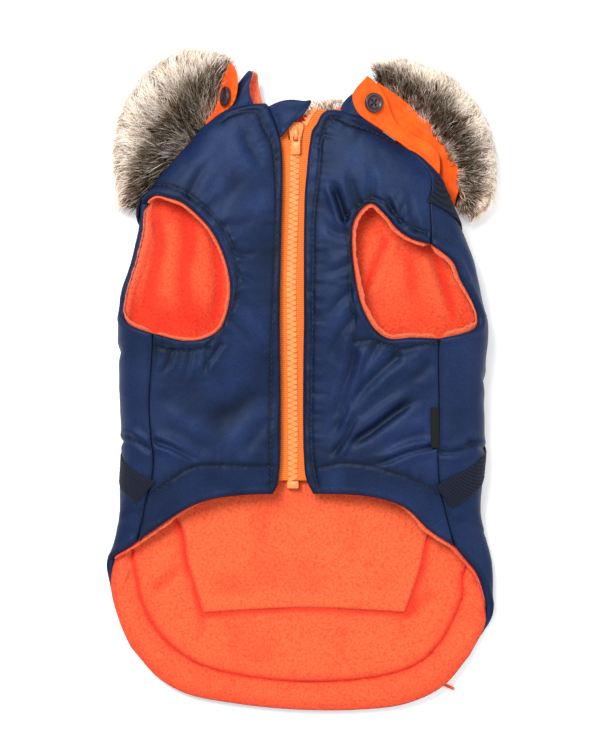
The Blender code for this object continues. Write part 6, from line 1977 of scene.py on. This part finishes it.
LABEL_SEEN = [(x + 1.3, y) for x, y in LABEL]


def make_label():
    """The folded tape in the side seam, left bare."""
    ends = [(spread(BODY.place(x, y, "top")), y) for x, y in LABEL_SEEN]
    line = np.array([np.array(ends[0]) + (np.array(ends[1]) - ends[0]) * t for t in np.linspace(0, 1, 24)])
    strap_piece("side_label_tape", "side_label", line, -(CLEAR + LABEL_THICK), LABEL_WIDE - 0.5, LABEL_THICK,
                LABEL_CLOTH, 9)


def make_cord():
    """The drawcord's free end, lying on the surface under the lifted edge of the tail."""
    route = smooth_line(CORD_ROUTE, CORD_D * 0.8)
    curve = bpy.data.curves.new("hem_drawcord", "CURVE")
    curve.dimensions = "3D"
    curve.bevel_depth = CORD_D / 2 * MM
    curve.bevel_resolution = 5
    curve.use_fill_caps = True
    spline = curve.splines.new("POLY")
    spline.points.add(len(route) - 1)
    for point, (x, y) in zip(spline.points, route):
        point.co = (x * MM, y * MM, CORD_D / 2 * MM, 1.0)
    spline.use_smooth = True
    curve.materials.append(CORD_CLOTH)
    obj = added("hem_drawcord", curve)
    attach(obj, "vest")
    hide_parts("hem_cord")


def braid():
    n = Nodes("drawcord")
    plait = n.mix(0.5, n.waves(0.0009, "X"), n.waves(0.0009, "DIAGONAL"))
    colour = n.ramp(plait, (0.2, (0.80, 0.075, 0.012)), (0.8, (1.0, 0.150, 0.030)))
    return n.finish(colour, 0.8, n.bump(plait, 0.0003, 0.9), Sheen_Weight=0.2)


CORD_CLOTH = braid()
STITCH_LONG = 2.5             # length of thread that shows
STITCH_WIDE = 0.24            # radius of the thread
STITCH_RISE = (-0.42, 0.02, 0.14, 0.14, 0.02, -0.42)      # how high a stitch stands along its length


def stitch_row(line, relief):
    """Short threads one after another along a line, half sunk into the cloth's trough."""
    points, faces = [], []
    total = 0
    length = np.concatenate([[0], np.cumsum(steps_of(line))])
    for start in np.arange(1.0, length[-1] - STITCH_LONG, STITCH_PITCH):
        along = start + np.linspace(0, STITCH_LONG, 6)
        spot = np.stack([np.interp(along, length, line[:, k]) for k in (0, 1)], 1)
        path = relief(spot)
        path[:, 2] += STITCH_RISE
        tube_points, quads = tube(path, STITCH_WIDE * np.array([0.6, 1, 1, 1, 1, 0.6]), 6)
        points.append(tube_points)
        faces.append(quads + total)
        total += len(tube_points)
    return points, faces, total


def make_stitches():
    for side, word in ((-1, "right"), (1, "left")):
        relief = front_relief(word, side)

        def on_cloth(spot):
            flat = np.array(unrolled(BODY, spot))
            v = gather(flat[:, 0])
            plan = BODY.point(v, flat[:, 1], 0.0)
            rise = relief(plan, flat, v)
            return BODY.point(v, flat[:, 1], -rise - 0.12)
        points, faces, total = [], [], 0
        for name, line in sorted(STITCHES.items()):
            if name.startswith(word):
                row, quads, count = stitch_row(smooth_line(line, 1.5), on_cloth)
                points += row
                faces += [q + total for q in quads]
                total += count
        faces = [np.concatenate(faces)[:, ::-1]]
        mesh_piece(f"front_{word}_stitches", np.concatenate(points), faces, THREAD)


# ---------------------------------------------------------------- camera, floor and light

VIEW_HIGH = 431.2             # millimetres of the surface that the picture's height takes in
VIEW_MIDDLE = (0.0, 2.9)
CAMERA_HIGH = 2000.0
SENSOR = 36.0
FLOOR_HALF = 1.5              # metres from the middle to the floor's edge
FLOOR_LEVEL = -0.0002         # just under the cloth
WHITE = (1.0, 1.0, 1.0, 1.0)
# (name, place in metres, size, power): a wide soft light from the upper left, a fill, and one from the front.
LIGHTS = (("key", (-0.50, 0.70, 1.45), 0.7, 30.0), ("fill", (1.15, 0.10, 1.05), 1.0, 9.0),
          ("front", (-0.3, -1.3, 1.10), 1.0, 7.0))


def make_stage():
    data = bpy.data.cameras.new("camera")
    data.sensor_fit = "VERTICAL"
    data.sensor_height = SENSOR
    data.lens = SENSOR * CAMERA_HIGH / VIEW_HIGH
    data.clip_start = 0.1
    data.clip_end = 10.0
    camera = added("camera", data)
    camera.location = (VIEW_MIDDLE[0] * MM, VIEW_MIDDLE[1] * MM, CAMERA_HIGH * MM)
    bpy.context.scene.camera = camera

    n = Nodes("floor")
    tone = n.ramp(n.noise(6.0), (0.3, (0.90, 0.90, 0.90)), (0.7, (0.94, 0.94, 0.94)))
    floor_material = n.finish(tone, 0.9, Emission_Color=WHITE, Emission_Strength=0.30)
    mesh = bpy.data.meshes.new("floor")
    corners = ((-1, -1), (1, -1), (1, 1), (-1, 1))
    mesh.from_pydata([(x * FLOOR_HALF, y * FLOOR_HALF, FLOOR_LEVEL) for x, y in corners], [], [(0, 1, 2, 3)])
    mesh.materials.append(floor_material)
    added("floor", mesh)

    for name, place, size, power in LIGHTS:
        light = bpy.data.lights.new(name, "AREA")
        light.shape = "SQUARE"
        light.size = size
        light.energy = power
        lamp = added(name, light)
        lamp.location = place
        aim = Vector((0, 0, 0)) - Vector(place)
        lamp.rotation_euler = aim.to_track_quat("-Z", "Y").to_euler()

    world = bpy.data.worlds.new("studio")
    world.use_nodes = True
    background = world.node_tree.nodes["Background"]
    background.inputs["Color"].default_value = WHITE
    background.inputs["Strength"].default_value = 0.30
    bpy.context.scene.world = world
    bpy.context.scene.view_settings.view_transform = "Standard"


make_stage()
make_cord()
make_back()
make_fronts()
make_collar()
make_teeth()
make_tapes()
make_slider_and_pull()
make_hood()
make_buttons()
make_straps()
make_label()
make_stitches()
for seed, (name, values) in enumerate(FUR.items()):
    make_fur(name, *values, seed=200 + seed)
